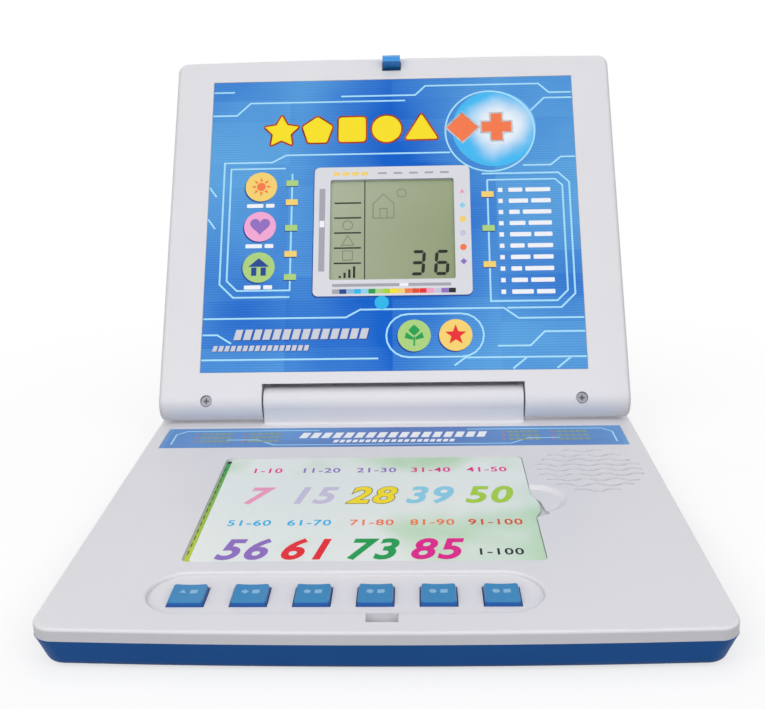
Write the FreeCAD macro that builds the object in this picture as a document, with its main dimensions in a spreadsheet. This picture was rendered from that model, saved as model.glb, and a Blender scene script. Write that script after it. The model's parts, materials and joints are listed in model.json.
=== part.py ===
import FreeCAD, Part
import math
import os
from types import SimpleNamespace

import Sketcher

# A toy laptop: a shallow base with a card tray and six keys, and a lid with a small
# liquid-crystal screen that turns on two pins beside a fixed hump.
# Frame: +X to the user's right, +Y to the back, +Z up, origin on the floor under the base's middle.
# Lid pieces are drawn lying flat behind the hinge (x across, y away from the axis, z to the user)
# and are turned up to the open angle by their placement. Lengths are in millimetres.

SIZES = [
    ("base_width", 260.0, "base, left to right"),
    ("base_depth", 227.4, "base, back edge to the crown of the front"),
    ("base_bow", 3.0, "how far the front edge of the base bows out"),
    ("base_taper", 1.0, "how far each side of the base draws in towards the front"),
    ("corner_round", 9.0, "plan corners of the base"),
    ("foot_height", 1.0, "rubber foot"),
    ("foot_radius", 5.0, "rubber foot"),
    ("foot_inset", 32.0, "foot centre from the base's sides"),
    ("shell_height", 12.4, "lower shell, underside to seam"),
    ("shell_draft", 3.5, "how far the lower shell draws in at the underside"),
    ("shell_round", 4.0, "lower edge of the lower shell"),
    ("cover_height", 5.1, "upper cover, seam to top"),
    ("edge_round", 1.2, "upper edge of the upper cover"),
    ("wall", 2.0, "moulded walls"),
    ("hinge_inset", 12.7, "hinge axis from the base's back edge"),
    ("knuckle_radius", 10.0, "hinge knuckles of the lid, half the lid's thickness"),
    ("lid_gap", 0.8, "between the closed lid and the base"),
    ("lid_open", 123.0, "lid from closed to its open stop, degrees"),
    ("barrel_radius", 8.3, "round top of the hump"),
    ("hump_neck", 13.0, "hump where it joins the base, front to back"),
    ("hump_width", 142.4, "hump, left to right"),
    ("hump_gap", 0.8, "between each hump end and the knuckle beside it"),
    ("hump_flare", 1.2, "inside round at the foot of the hump"),
    ("notch_radius", 12.6, "lid notch about the hinge axis"),
    ("pin_radius", 2.5, "hinge pin"),
    ("pin_run", 0.05, "running clearance of the pin in the lid, on the radius"),
    ("pin_in_hump", 5.0, "pin length held in the hump"),
    ("pin_in_lid", 22.0, "pin length in a knuckle"),
    ("label_width", 244.6, "printed strip on the base"),
    ("label_depth", 27.4, "printed strip, front to back"),
    ("label_back", 13.0, "printed strip's back edge from the hinge axis"),
    ("label_recess", 0.4, "strip's seat"),
    ("label_thick", 0.3, "strip"),
    ("tray_width", 149.0, "card tray"),
    ("tray_depth", 108.0, "card tray, front to back"),
    ("tray_x", -9.0, "card tray's middle"),
    ("tray_y", -7.5, "card tray's middle"),
    ("tray_recess", 1.6, "card tray below the top"),
    ("tray_round", 3.0, "card tray corners"),
    ("pad_thick", 0.4, "touch membrane on the tray floor"),
    ("card_thick", 0.6, "picture card"),
    ("card_clear", 0.3, "card to tray wall"),
    ("card_margin", 3.0, "strip of membrane left bare beside the card"),
    ("tab_radius", 22.0, "card's thumb tab"),
    ("tab_y", -10.0, "thumb tab's middle"),
    ("tab_reach", 3.0, "thumb tab beyond the card's edge"),
    ("well_radius", 14.8, "finger well beside the card"),
    ("well_recess", 1.4, "finger well below the top"),
    ("well_slope", 3.0, "sloping rim of the finger well"),
    ("well_rim", 6.0, "thicker floor round the finger well"),
    ("well_offset", 1.0, "finger well's middle from the tray's edge"),
    ("relief_drop", 1.2, "room under the tab, below the tray"),
    ("relief_end", 1.5, "room round the tab at its ends"),
    ("relief_reach", 6.0, "room beside the tab for a fingertip"),
    ("well_y", -3.0, "finger well's middle"),
    ("grille_x", 96.5, "speaker grille's middle"),
    ("grille_y", 29.0, "speaker grille's middle"),
    ("grille_width", 50.0, "grille, left to right"),
    ("grille_depth", 54.0, "outline of the grille, front to back"),
    ("slot_pitch", 5.9, "from one wavy groove to the next"),
    ("groove_width", 1.7, "wavy groove"),
    ("groove_depth", 0.5, "wavy groove"),
    ("slot_width", 0.4, "slot in the floor of a groove"),
    ("wave_length", 14.5, "one wave of a groove"),
    ("wave_height", 1.2, "middle line to crest of a groove"),
    ("slot_end", 0.2, "slot cutter beyond each side of the deck"),
    ("key_pitch", 24.0, "from key to key"),
    ("key_side", 14.0, "key at its foot, square"),
    ("key_draft", 0.6, "how far a key draws in at its top"),
    ("key_rise", 0.3, "keys above the base's top"),
    ("key_dish", 0.45, "hollow of a key's top"),
    ("key_clear", 0.3, "key to its opening"),
    ("key_travel", 1.2, "key stroke"),
    ("key_row_x", -15.0, "middle of the key row"),
    ("key_row_y", -86.1, "middle of the key row"),
    ("key_flange", 1.3, "flange that keeps a key in, each side"),
    ("flange_thick", 1.0, "flange"),
    ("stem_radius", 3.0, "key stem"),
    ("key_round", 1.2, "upright edges of a key"),
    ("panel_length", 152.0, "oblong recess round the keys"),
    ("panel_depth", 30.0, "oblong recess, front to back"),
    ("panel_y", -85.0, "oblong recess's middle"),
    ("panel_recess", 1.8, "oblong recess below the top"),
    ("panel_round", 1.0, "soft upper edge of the oblong recess"),
    ("lid_length", 210.0, "lid, hinge axis to the crown of its top edge"),
    ("lid_inset", 1.0, "lid narrower than the base, each side"),
    ("lid_bow", 1.2, "how far the lid's top edge bows out"),
    ("lid_corner", 6.0, "plan corners of the lid"),
    ("lid_round", 2.5, "edges of the lid's inner face"),
    ("back_round", 5.0, "edges of the lid's back"),
    ("knuckle_depth", 14.0, "solid foot of the lid that holds the pins"),
    ("panel_sheet_width", 213.0, "printed sheet in the lid"),
    ("panel_sheet_low", 14.4, "printed sheet's lower edge from the axis"),
    ("panel_sheet_high", 194.7, "printed sheet's upper edge from the axis"),
    ("sheet_recess", 0.5, "sheet's seat"),
    ("sheet_thick", 0.35, "sheet"),
    ("sheet_clear", 0.25, "sheet to its seat's edge"),
    ("window_width", 71.4, "screen window"),
    ("window_low", 67.8, "screen window's lower edge from the axis"),
    ("window_high", 129.6, "screen window's upper edge from the axis"),
    ("glass_lap", 4.0, "screen glass behind the window's edge"),
    ("glass_thick", 1.1, "each of the screen's two glasses"),
    ("ledge", 3.0, "contact ledge of the front glass"),
    ("strip_width", 2.0, "rubber contact strip"),
    ("strip_height", 3.6, "rubber contact strip, glass to board"),
    ("frame_wall", 1.6, "frame round the screen glass"),
    ("board_lap", 1.0, "screen board round its bosses"),
    ("board_thick", 1.2, "circuit boards"),
    ("boss_radius", 3.0, "screw bosses"),
    ("pilot_radius", 1.1, "screw pilot holes"),
    ("pilot_end", 0.3, "plastic left at the blind end of a pilot hole"),
    ("shank_radius", 1.0, "screw shanks"),
    ("head_radius", 2.9, "screw heads"),
    ("head_height", 1.6, "screw heads"),
    ("head_clear", 0.3, "screw head to its counterbore"),
    ("lid_screw_x", 102.5, "lid screws from the middle"),
    ("lid_screw_y", -1.6, "lid screws from the hinge axis"),
    ("lid_screw_length", 12.0, "lid screw shank"),
    ("lid_screw_sink", 2.6, "lid screw seat below the lid's face"),
    ("hook_width", 10.4, "latch hook"),
    ("hook_thick", 3.2, "latch hook, front to back"),
    ("hook_near", 202.8, "latch hook's near side from the hinge axis"),
    ("hook_nose", 2.4, "latch nose beyond the hook"),
    ("nose_height", 3.5, "latch nose, catch to tip"),
    ("slot_slack", 1.4, "room behind the hook in the base's slot"),
    ("slot_lead", 1.7, "room in front of the hook in the base's slot"),
    ("plate_lead", 4.0, "latch slide below the hook"),
    ("latch_clear", 0.4, "latch to what guides it"),
    ("latch_travel", 1.8, "latch stroke"),
    ("latch_plate_width", 26.0, "latch slide"),
    ("latch_plate_depth", 8.6, "latch slide, along the lid"),
    ("latch_plate_thick", 3.0, "latch slide"),
    ("latch_plate_drop", 1.5, "latch slide below the lid's parting"),
    ("button_width", 18.0, "latch button in the lid's edge"),
    ("button_height", 5.0, "latch button"),
    ("button_flush", 0.4, "latch button below the lid's edge"),
    ("spring_radius", 1.8, "latch spring, middle of the wire"),
    ("spring_wire", 0.35, "latch spring wire, radius"),
    ("spring_length", 8.0, "latch spring at rest"),
    ("spring_turns", 5.0, "latch spring"),
    ("spring_lead", 1.0, "latch spring inside its socket at rest"),
    ("keeper_depth", 7.0, "latch keeper below the base's deck"),
    ("keeper_wall", 1.6, "latch keeper's walls"),
    ("post_radius", 3.5, "posts that screw the base together"),
    ("post_inset", 14.0, "posts from the base's sides"),
    ("post_front", 20.0, "front posts from the front crown"),
    ("post_back", 22.0, "back posts from the back edge"),
    ("base_screw_length", 11.5, "base screw shank"),
    ("base_screw_seat", 3.0, "floor of the counterbore above the underside"),
    ("board_width", 154.0, "main board"),
    ("board_depth", 33.0, "main board, front to back"),
    ("board_y", -79.0, "main board's middle"),
    ("board_lift", 6.3, "main board above the shell floor"),
    ("board_screw_length", 4.0, "board screw shank"),
    ("mat_thick", 1.0, "rubber key mat"),
    ("mat_depth", 13.0, "rubber key mat, front to back"),
    ("mat_relief", 1.2, "key stem to its hole in the mat"),
    ("cell_radius", 5.25, "battery cell"),
    ("cell_length", 44.5, "battery cell"),
    ("cell_clear", 0.3, "cell to cell and to the bay"),
    ("nub_length", 0.8, "battery cell's positive end"),
    ("nub_radius", 1.9, "battery cell's positive end"),
    ("contact_thick", 0.8, "battery contact"),
    ("contact_side", 8.0, "battery contact, square"),
    ("bay_x", -36.0, "battery bay's middle"),
    ("bay_y", 36.0, "battery bay's middle"),
    ("bay_wall", 1.6, "battery bay walls"),
    ("bay_height", 10.7, "battery bay walls above the shell floor"),
    ("bay_roof", 0.9, "battery bay roof"),
    ("door_clear", 0.3, "battery door to its opening"),
    ("door_tail", 12.0, "battery door's screw end"),
    ("door_web", 0.9, "battery door under its screw head"),
    ("speaker_radius", 20.0, "speaker flange"),
    ("speaker_depth", 5.5, "speaker basket"),
    ("speaker_plate", 10.0, "speaker's back plate, radius"),
    ("speaker_rim", 3.0, "speaker flange, width"),
    ("cone_gap", 1.5, "speaker cone to the flange"),
    ("magnet_radius", 9.0, "speaker magnet"),
    ("magnet_height", 3.5, "speaker magnet"),
    ("basket_wall", 0.8, "speaker basket"),
    ("cone_thick", 0.4, "speaker cone"),
    ("speaker_clear", 0.3, "speaker to its ring"),
    ("ring_height", 3.0, "ring that holds the speaker"),
    ("switch_x", 95.0, "power switch's middle"),
    ("switch_length", 14.0, "power switch body"),
    ("switch_height", 6.0, "power switch body"),
    ("switch_depth", 5.0, "power switch body, front to back"),
    ("knob_length", 4.5, "power switch knob"),
    ("knob_height", 2.6, "power switch knob"),
    ("knob_travel", 4.0, "power switch stroke"),
    ("knob_clear", 0.35, "power switch knob to its window"),
    ("knob_reach", 0.8, "knob beyond the shell's back edge"),
]

KEY_COUNT = 6
WAVE_ROWS = 9
CELL_COUNT = 3

doc = FreeCAD.newDocument("toy_laptop")
sheet = doc.addObject("Spreadsheet::Sheet", "Sizes")
for row, (alias, value, note) in enumerate(SIZES, start=1):
    sheet.set(f"A{row}", alias)
    sheet.set(f"B{row}", str(value))
    sheet.set(f"C{row}", note)
    sheet.setAlias(f"B{row}", alias)
doc.recompute()


class Dim:
    """A size with its value now and the sheet formula that drives it."""

    def __init__(self, value, text):
        self.value = float(value)
        self.text = text

    def __add__(self, other):
        other = dim(other)
        return Dim(self.value + other.value, f"({self.text} + {other.text})")

    def __sub__(self, other):
        other = dim(other)
        return Dim(self.value - other.value, f"({self.text} - {other.text})")

    def __mul__(self, other):
        other = dim(other)
        return Dim(self.value * other.value, f"({self.text} * {other.text})")

    def __truediv__(self, other):
        other = dim(other)
        return Dim(self.value / other.value, f"({self.text} / {other.text})")

    def __neg__(self):
        return Dim(-self.value, f"(-1 * {self.text})")

    def __radd__(self, other):
        return dim(other) + self

    def __rsub__(self, other):
        return dim(other) - self

    def __rmul__(self, other):
        return dim(other) * self


def dim(number):
    """A plain number as a Dim; a Dim as it is."""
    return number if isinstance(number, Dim) else Dim(number, repr(float(number)))


def root(square):
    """The square root of a Dim."""
    return Dim(math.sqrt(square.value), f"sqrt({square.text})")


def slope_angle(run, rise):
    """The angle, in degrees, whose tangent is run over rise."""
    return Dim(math.degrees(math.atan2(run.value, rise.value)), f"atan({run.text} / {rise.text})")


s = SimpleNamespace(**{alias: Dim(value, f"Sizes.{alias}") for alias, value, note in SIZES})

# Heights and places that several pieces share.
half_width = s.base_width / 2
lid_side = half_width - s.lid_inset
back_edge = s.base_depth / 2
seam = s.foot_height + s.shell_height
top = seam + s.cover_height
deck = top - s.wall
floor = s.foot_height + s.wall
axis_y = back_edge - s.hinge_inset
axis_z = top + s.lid_gap + s.knuckle_radius
lid_turn = 180 - s.lid_open
notch_half = s.hump_width / 2 + s.hump_gap
tray_left = s.tray_x - s.tray_width / 2
tray_right = s.tray_x + s.tray_width / 2
tray_front = s.tray_y - s.tray_depth / 2
tray_back = s.tray_y + s.tray_depth / 2
tray_floor = top - s.tray_recess
tab_half = root(2 * s.tab_radius * s.tab_reach - s.tab_reach * s.tab_reach)
panel_floor = top - s.panel_recess
board_low = floor + s.board_lift
board_high = board_low + s.board_thick
face = s.knuckle_radius
sheet_seat = face - s.sheet_recess
glass_front = face - s.wall
lid_board_high = glass_front - s.glass_thick - s.strip_height
hook_far = s.hook_near + s.hook_thick
hook_half = s.hook_width / 2
slot_half = hook_half + 2 * s.latch_clear
slot_back = axis_y - s.hook_near + s.slot_slack
slot_front = axis_y - hook_far - s.slot_lead
undercut_front = axis_y - hook_far - s.hook_nose - s.latch_clear
nose_low = axis_z - deck + s.latch_clear
hook_tip = nose_low + s.nose_height
plate_low = s.hook_near - s.plate_lead
plate_high = plate_low + s.latch_plate_depth
plate_floor = -s.latch_plate_drop - s.latch_plate_thick
button_high = -s.latch_plate_drop
button_low = button_high - s.button_height
button_front = plate_high - s.wall
spring_z = -s.latch_plate_drop - s.latch_plate_thick / 2
socket_length = s.spring_lead + s.latch_travel + s.latch_clear + s.bay_wall
label_back = axis_y - s.label_back
glass_half = s.window_width / 2 + s.glass_lap
glass_low = s.window_low - s.glass_lap
glass_high = s.window_high + s.glass_lap
bay_half = s.cell_length / 2 + s.contact_thick
bay_left = s.bay_x - bay_half
bay_right = s.bay_x + bay_half
bay_width = (2 * s.cell_radius + s.cell_clear) * CELL_COUNT + s.cell_clear
bay_front = s.bay_y - bay_width / 2
bay_back = s.bay_y + bay_width / 2
door_screw_x = bay_right + s.bay_wall + (s.door_tail - s.bay_wall) / 2
switch_back = back_edge - s.shell_draft - s.wall - s.knob_clear
knob_z = floor + s.switch_height / 2
knob_back = back_edge - s.shell_draft / 2 + s.knob_reach
flange_high = panel_floor - s.wall - s.key_clear
post_x = half_width - s.post_inset
post_y_front = s.post_front - s.base_depth / 2
post_y_back = back_edge - s.post_back

parts = []


def bind(item, path, size):
    """Tie one property of an object to the sheet."""
    item.setExpression(path, dim(size).text)


def keep(item, label, lid=False):
    """Name a finished sub-part and list it; a lid piece is turned up about the hinge axis."""
    item.Label = label
    if lid:
        item.setExpression(
            "Placement",
            f"create(<<placement>>; create(<<vector>>; 0; {axis_y.text}; {axis_z.text});"
            f" create(<<rotation>>; create(<<vector>>; 1; 0; 0); {lid_turn.text}))",
        )
    parts.append(item)
    return item


def new_body(name):
    return doc.addObject("PartDesign::Body", name)


def new_sketch(body, name, offset=0, role="XY_Plane"):
    """A sketch on one of the body's own origin planes, moved along that plane's normal."""
    sketch = body.newObject("Sketcher::SketchObject", name)
    plane = next(item for item in body.Origin.OriginFeatures if item.Role == role)
    sketch.AttachmentSupport = [(plane, "")]
    sketch.MapMode = "FlatFace"
    bind(sketch, "AttachmentOffset.Base.z", offset)
    return sketch


def hold(sketch, kind, size, *where):
    """Add one constraint with its size tied to the sheet."""
    index = sketch.addConstraint(Sketcher.Constraint(kind, *where, dim(size).value))
    bind(sketch, f"Constraints[{index}]", size)


def loop(sketch, corners):
    """A closed outline. A corner is (x, y), or (x, y, radius, via) where an arc leaves it.

    A half circle has no radius but (x, y, None, via, x of its centre).
    """
    first = sketch.GeometryCount
    spots = [FreeCAD.Vector(dim(corner[0]).value, dim(corner[1]).value, 0) for corner in corners]
    ends = []
    for index, corner in enumerate(corners):
        start = spots[index]
        stop = spots[(index + 1) % len(corners)]
        if len(corner) == 2:
            sketch.addGeometry(Part.LineSegment(start, stop))
            ends.append((1, 2))
            continue
        via = FreeCAD.Vector(dim(corner[3][0]).value, dim(corner[3][1]).value, 0)
        arc = sketch.addGeometry(Part.Arc(start, via, stop))
        one, two = (sketch.getPoint(arc, end).distanceToPoint(start) for end in (1, 2))
        ends.append((2, 1) if one > two else (1, 2))
        if corner[2] is None:
            hold(sketch, "DistanceX", corner[4], -1, 1, arc, 3)
        else:
            hold(sketch, "Radius", corner[2], arc)
    for index, corner in enumerate(corners):
        after = (index + 1) % len(corners)
        sketch.addConstraint(
            Sketcher.Constraint("Coincident", first + index, ends[index][1], first + after, ends[after][0])
        )
        hold(sketch, "DistanceX", corner[0], -1, 1, first + index, ends[index][0])
        hold(sketch, "DistanceY", corner[1], -1, 1, first + index, ends[index][0])


def rectangle(sketch, left, low, right, high):
    loop(sketch, [(left, low), (right, low), (right, high), (left, high)])


def disc(sketch, x, y, radius):
    centre = FreeCAD.Vector(dim(x).value, dim(y).value, 0)
    circle = sketch.addGeometry(Part.Circle(centre, FreeCAD.Vector(0, 0, 1), dim(radius).value))
    hold(sketch, "Radius", radius, circle)
    hold(sketch, "DistanceX", x, -1, 1, circle, 3)
    hold(sketch, "DistanceY", y, -1, 1, circle, 3)


def feature(kind, sketch, length, back=False, both=False, taper=None):
    body = sketch.getParentGeoFeatureGroup()
    item = body.newObject(f"PartDesign::{kind}", f"{sketch.Name}_{kind.lower()}")
    item.Profile = sketch
    item.Reversed = back
    bind(item, "Length", length)
    if both:
        item.SideType = "Symmetric"
    if taper is not None:
        bind(item, "TaperAngle", taper)
    sketch.Visibility = False
    return item


def pad(sketch, length, **how):
    """Raise an outline along its plane's normal, or against it with back=True."""
    item = feature("Pad", sketch, length, **how)
    doc.recompute()
    if item.Shape.isNull():
        raise ValueError(f"{item.Name} raises nothing")
    return item


def pocket(sketch, length, **how):
    """Cut an outline against its plane's normal, or along it with back=True."""
    before = sketch.getParentGeoFeatureGroup().Tip.Shape.Volume
    item = feature("Pocket", sketch, length, **how)
    item.Refine = False
    doc.recompute()
    if not item.Shape.Volume < before:
        raise ValueError(f"{item.Name} cuts nothing")
    return item


def round_edges(body, radius, pick):
    """Round the edges of the body so far that pick accepts."""
    base = body.Tip
    names = [f"Edge{number}" for number, edge in enumerate(base.Shape.Edges, start=1) if pick(edge)]
    if not names:
        raise ValueError(f"no edge to round on {body.Name}")
    item = body.newObject("PartDesign::Fillet", f"{body.Name}_round")
    item.Base = (base, names)
    bind(item, "Radius", radius)
    doc.recompute()
    if item.Shape.isNull():
        raise ValueError(f"{item.Name} rounds nothing")
    return item


def near(value, size, slack=0.01):
    return abs(value - dim(size).value) < slack


def upright(edge):
    """A straight edge along Z."""
    box = edge.BoundBox
    return box.XLength < 0.01 and box.YLength < 0.01


def level(edge, height):
    """An edge that lies flat at this height."""
    return near(edge.BoundBox.ZMin, height) and near(edge.BoundBox.ZMax, height)


def block(name, low, high):
    """A box between two corners, each given as (x, y, z)."""
    item = doc.addObject("Part::Box", name)
    for side, one, other in zip(("Length", "Width", "Height"), low, high):
        bind(item, side, dim(other) - one)
    for letter, one in zip("xyz", low):
        bind(item, f"Placement.Base.{letter}", one)
    return item


def rod(name, at, radius, length, turn=None):
    """A cylinder from a point along +Z, or along the axis that turn leads to."""
    item = doc.addObject("Part::Cylinder", name)
    if turn is not None:
        item.Placement.Rotation = turn
    bind(item, "Radius", radius)
    bind(item, "Height", length)
    for letter, one in zip("xyz", at):
        bind(item, f"Placement.Base.{letter}", one)
    return item


def cut(name, base, tools):
    """One piece less several others."""
    away = doc.addObject("Part::Compound", f"{name}_cuts")
    away.Links = tools
    item = doc.addObject("Part::Cut", name)
    item.Base = base
    item.Tool = away
    return item


def fuse(name, pieces):
    item = doc.addObject("Part::MultiFuse", name)
    item.Shapes = pieces
    return item


def group(name, pieces):
    """Separate solids that share one node."""
    item = doc.addObject("Part::Compound", name)
    item.Links = pieces
    return item


ALONG_X = FreeCAD.Rotation(FreeCAD.Vector(0, 1, 0), 90)


def screw(name, at, length, head_up=True):
    """A pan-head screw; at is the seat under its head."""
    x, y, z = at
    if head_up:
        head = rod(f"{name}_head", (x, y, z), s.head_radius, s.head_height)
        shank = rod(f"{name}_shank", (x, y, z - length), s.shank_radius, length)
    else:
        head = rod(f"{name}_head", (x, y, z - s.head_height), s.head_radius, s.head_height)
        shank = rod(f"{name}_shank", (x, y, z), s.shank_radius, length)
    return fuse(name, [head, shank])


def base_outline(sketch, inset):
    """Plan of the base, drawn in by inset: straight sides and back, a narrower bowed front."""
    half = half_width - inset
    narrow = half - s.base_taper
    back = back_edge - inset
    crown = inset - s.base_depth / 2
    shoulder = crown + s.base_bow
    radius = (narrow * narrow + s.base_bow * s.base_bow) / (2 * s.base_bow)
    loop(sketch, [(-narrow, shoulder, radius, (0, crown)), (narrow, shoulder), (half, back), (-half, back)])


def base_block(name, inset, height, **how):
    """A solid on the base's plan from the seam, up or down, with its plan corners rounded."""
    body = new_body(name)
    plan = new_sketch(body, f"{name}_plan", seam)
    base_outline(plan, inset)
    pad(plan, height, **how)
    round_edges(
        body,
        s.corner_round - inset,
        lambda edge: near(edge.BoundBox.ZLength, height) and edge.BoundBox.XLength < dim(height).value,
    )
    return body


def take_away(body, tool):
    """Cut one body from another."""
    item = body.newObject("PartDesign::Boolean", f"{tool.Name}_cut")
    item.Type = "Cut"
    item.setObjects([tool])
    doc.recompute()
    return item


def stadium(sketch, x, y, length, depth):
    """An oblong with round ends."""
    radius = depth / 2
    run = length / 2 - radius
    loop(
        sketch,
        [
            (x - run, y - radius),
            (x + run, y - radius, None, (x + run + radius, y), x + run),
            (x + run, y + radius),
            (x - run, y + radius, None, (x - run - radius, y), x - run),
        ],
    )


def wave(sketch, y, bends, width):
    """A wavy band about the grille's middle: alternate arcs, drawn on both sides of its middle line."""
    quarter = s.wave_length / 4
    half = width / 2
    bend = (quarter * quarter + s.wave_height * s.wave_height) / (2 * s.wave_height)
    lean = quarter / bend * half
    rise = (bend - s.wave_height) / bend * half
    left = s.grille_x - quarter * bends

    def side(number, sign):
        """Where a bend starts, on the upper or lower side of the band."""
        crest = 1 if number % 2 == 0 else -1
        return left + quarter * (2 * number) - sign * crest * lean, y + sign * rise

    def arc(number, start, sign):
        """One bend that leaves a corner along the upper or lower side."""
        crest = 1 if number % 2 == 0 else -1
        via = (left + quarter * (2 * number + 1), y + crest * s.wave_height + sign * half)
        return (*start, bend + sign * crest * half, via)

    there = [arc(number, side(number, 1), 1) for number in range(bends)]
    again = [arc(number, side(number + 1, -1), -1) for number in reversed(range(bends))]
    loop(sketch, there + [side(bends, 1)] + again + [side(0, -1)])


def key_x(number):
    """Middle of a key, counted from the left."""
    return s.key_row_x + s.key_pitch * (number - (KEY_COUNT - 1) / 2)


def base_post_spots():
    return [(x, y) for x in (-post_x, post_x) for y in (post_y_front, post_y_back)]


def board_post_spots():
    x = s.board_width / 2 - s.boss_radius - s.wall
    y = s.board_depth / 2 - s.boss_radius
    return [(s.key_row_x + a * x, s.board_y + b * y) for a in (-1, 1) for b in (-1, 1)]


def discs(body, name, offset, spots, radius):
    """A sketch of equal circles."""
    sketch = new_sketch(body, name, offset)
    for x, y in spots:
        disc(sketch, x, y, radius)
    return sketch


def base_top_cover():
    body = base_block("cover_moulding", 0, s.cover_height)
    round_edges(body, s.edge_round, lambda edge: level(edge, top))
    take_away(body, base_block("cover_hollow", s.wall, s.cover_height - s.wall))
    cover_blocks(body)
    cover_recesses(body)
    cover_hump(body)
    posts = discs(body, "cover_posts", deck, base_post_spots(), s.post_radius)
    pad(posts, deck - seam, back=True)
    pilots = discs(body, "cover_pilots", seam, base_post_spots(), s.pilot_radius)
    pocket(pilots, deck - seam - s.pilot_end, back=True)
    take_away(body, grille_slots())
    return keep(body, "base_top_cover")


def cover_blocks(body):
    """Thicker floors under the recesses, the latch keeper and the speaker's ring, all below the deck."""
    tray = new_sketch(body, "tray_block", deck)
    rectangle(tray, tray_left - s.wall, tray_front - s.wall, tray_right + s.wall, tray_back + s.wall)
    pad(tray, s.tray_recess, back=True)
    panel = new_sketch(body, "panel_block", deck)
    stadium(panel, s.key_row_x, s.panel_y, s.panel_length + 2 * s.wall, s.panel_depth + 2 * s.wall)
    pad(panel, s.panel_recess, back=True)
    keeper = new_sketch(body, "keeper_block", deck)
    rectangle(
        keeper,
        -slot_half - s.keeper_wall,
        undercut_front - s.keeper_wall,
        slot_half + s.keeper_wall,
        slot_back + s.keeper_wall,
    )
    pad(keeper, s.keeper_depth, back=True)
    well = new_sketch(body, "well_block", deck)
    disc(well, tray_right + s.well_offset, s.well_y, s.well_radius + s.well_rim)
    pad(well, s.tray_recess + s.relief_drop, back=True)
    ring = new_sketch(body, "speaker_ring", deck)
    disc(ring, s.grille_x, s.grille_y, s.speaker_radius + s.speaker_clear + s.wall)
    disc(ring, s.grille_x, s.grille_y, s.speaker_radius + s.speaker_clear)
    pad(ring, s.ring_height, back=True)


def finger_well():
    """A shallow round dish with a sloping rim beside the tray, as a solid to cut away."""
    body = new_body("finger_well")
    profile = new_sketch(body, "finger_well_profile", 0, "XZ_Plane")
    loop(
        profile,
        [
            (0, -s.well_recess),
            (s.well_radius - s.well_slope, -s.well_recess),
            (s.well_radius, 0),
            (s.well_radius, s.wall),
            (0, s.wall),
        ],
    )
    item = body.newObject("PartDesign::Revolution", "finger_well_turned")
    item.Profile = profile
    item.ReferenceAxis = (profile, ["V_Axis"])
    item.Angle = 360
    for letter, size in zip("xyz", (tray_right + s.well_offset, s.well_y, top)):
        bind(body, f"Placement.Base.{letter}", size)
    doc.recompute()
    return body


def cover_recesses(body):
    """Seats and openings cut from the top."""
    tray = new_sketch(body, "tray_seat", top)
    rectangle(tray, tray_left, tray_front, tray_right, tray_back)
    pocket(tray, s.tray_recess)
    round_edges(
        body,
        s.tray_round,
        lambda edge: upright(edge)
        and near(abs(edge.BoundBox.Center.x - s.tray_x.value), s.tray_width / 2)
        and near(abs(edge.BoundBox.Center.y - s.tray_y.value), s.tray_depth / 2),
    )
    relief = new_sketch(body, "tab_relief", top)
    loop(
        relief,
        [
            (tray_right - s.tab_reach, s.tab_y - tab_half - s.relief_end),
            (tray_right, s.tab_y - tab_half - s.relief_end),
            (tray_right + s.relief_reach, s.tab_y - tab_half + s.relief_end),
            (tray_right + s.tab_reach + s.relief_end / 2, s.tab_y + tab_half / 2),
            (tray_right, s.tab_y + tab_half + s.relief_end),
            (tray_right - s.tab_reach, s.tab_y + tab_half + s.relief_end),
        ],
    )
    pocket(relief, s.tray_recess + s.relief_drop)
    take_away(body, finger_well())
    panel = new_sketch(body, "key_panel", top)
    stadium(panel, s.key_row_x, s.panel_y, s.panel_length, s.panel_depth)
    pocket(panel, s.panel_recess)
    round_edges(
        body,
        s.panel_round,
        lambda edge: level(edge, top)
        and edge.BoundBox.YMax < tray_front.value - 1
        and edge.BoundBox.YMin > (s.panel_y - s.panel_depth / 2).value - 1,
    )
    keys = new_sketch(body, "key_openings", panel_floor)
    opening = s.key_side / 2 + s.key_clear
    for number in range(KEY_COUNT):
        rectangle(
            keys,
            key_x(number) - opening,
            s.key_row_y - opening,
            key_x(number) + opening,
            s.key_row_y + opening,
        )
    pocket(keys, 2 * s.wall)
    label = new_sketch(body, "label_seat", top)
    rectangle(
        label,
        -s.label_width / 2 - s.sheet_clear,
        label_back - s.label_depth - s.sheet_clear,
        s.label_width / 2 + s.sheet_clear,
        label_back + s.sheet_clear,
    )
    pocket(label, s.label_recess)
    slot = new_sketch(body, "latch_slot", top)
    rectangle(slot, -slot_half, slot_front, slot_half, slot_back)
    pocket(slot, s.wall + s.keeper_depth - s.keeper_wall)
    undercut = new_sketch(body, "latch_undercut", deck)
    rectangle(undercut, -slot_half, undercut_front, slot_half, slot_back)
    pocket(undercut, s.keeper_depth - s.keeper_wall)


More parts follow.
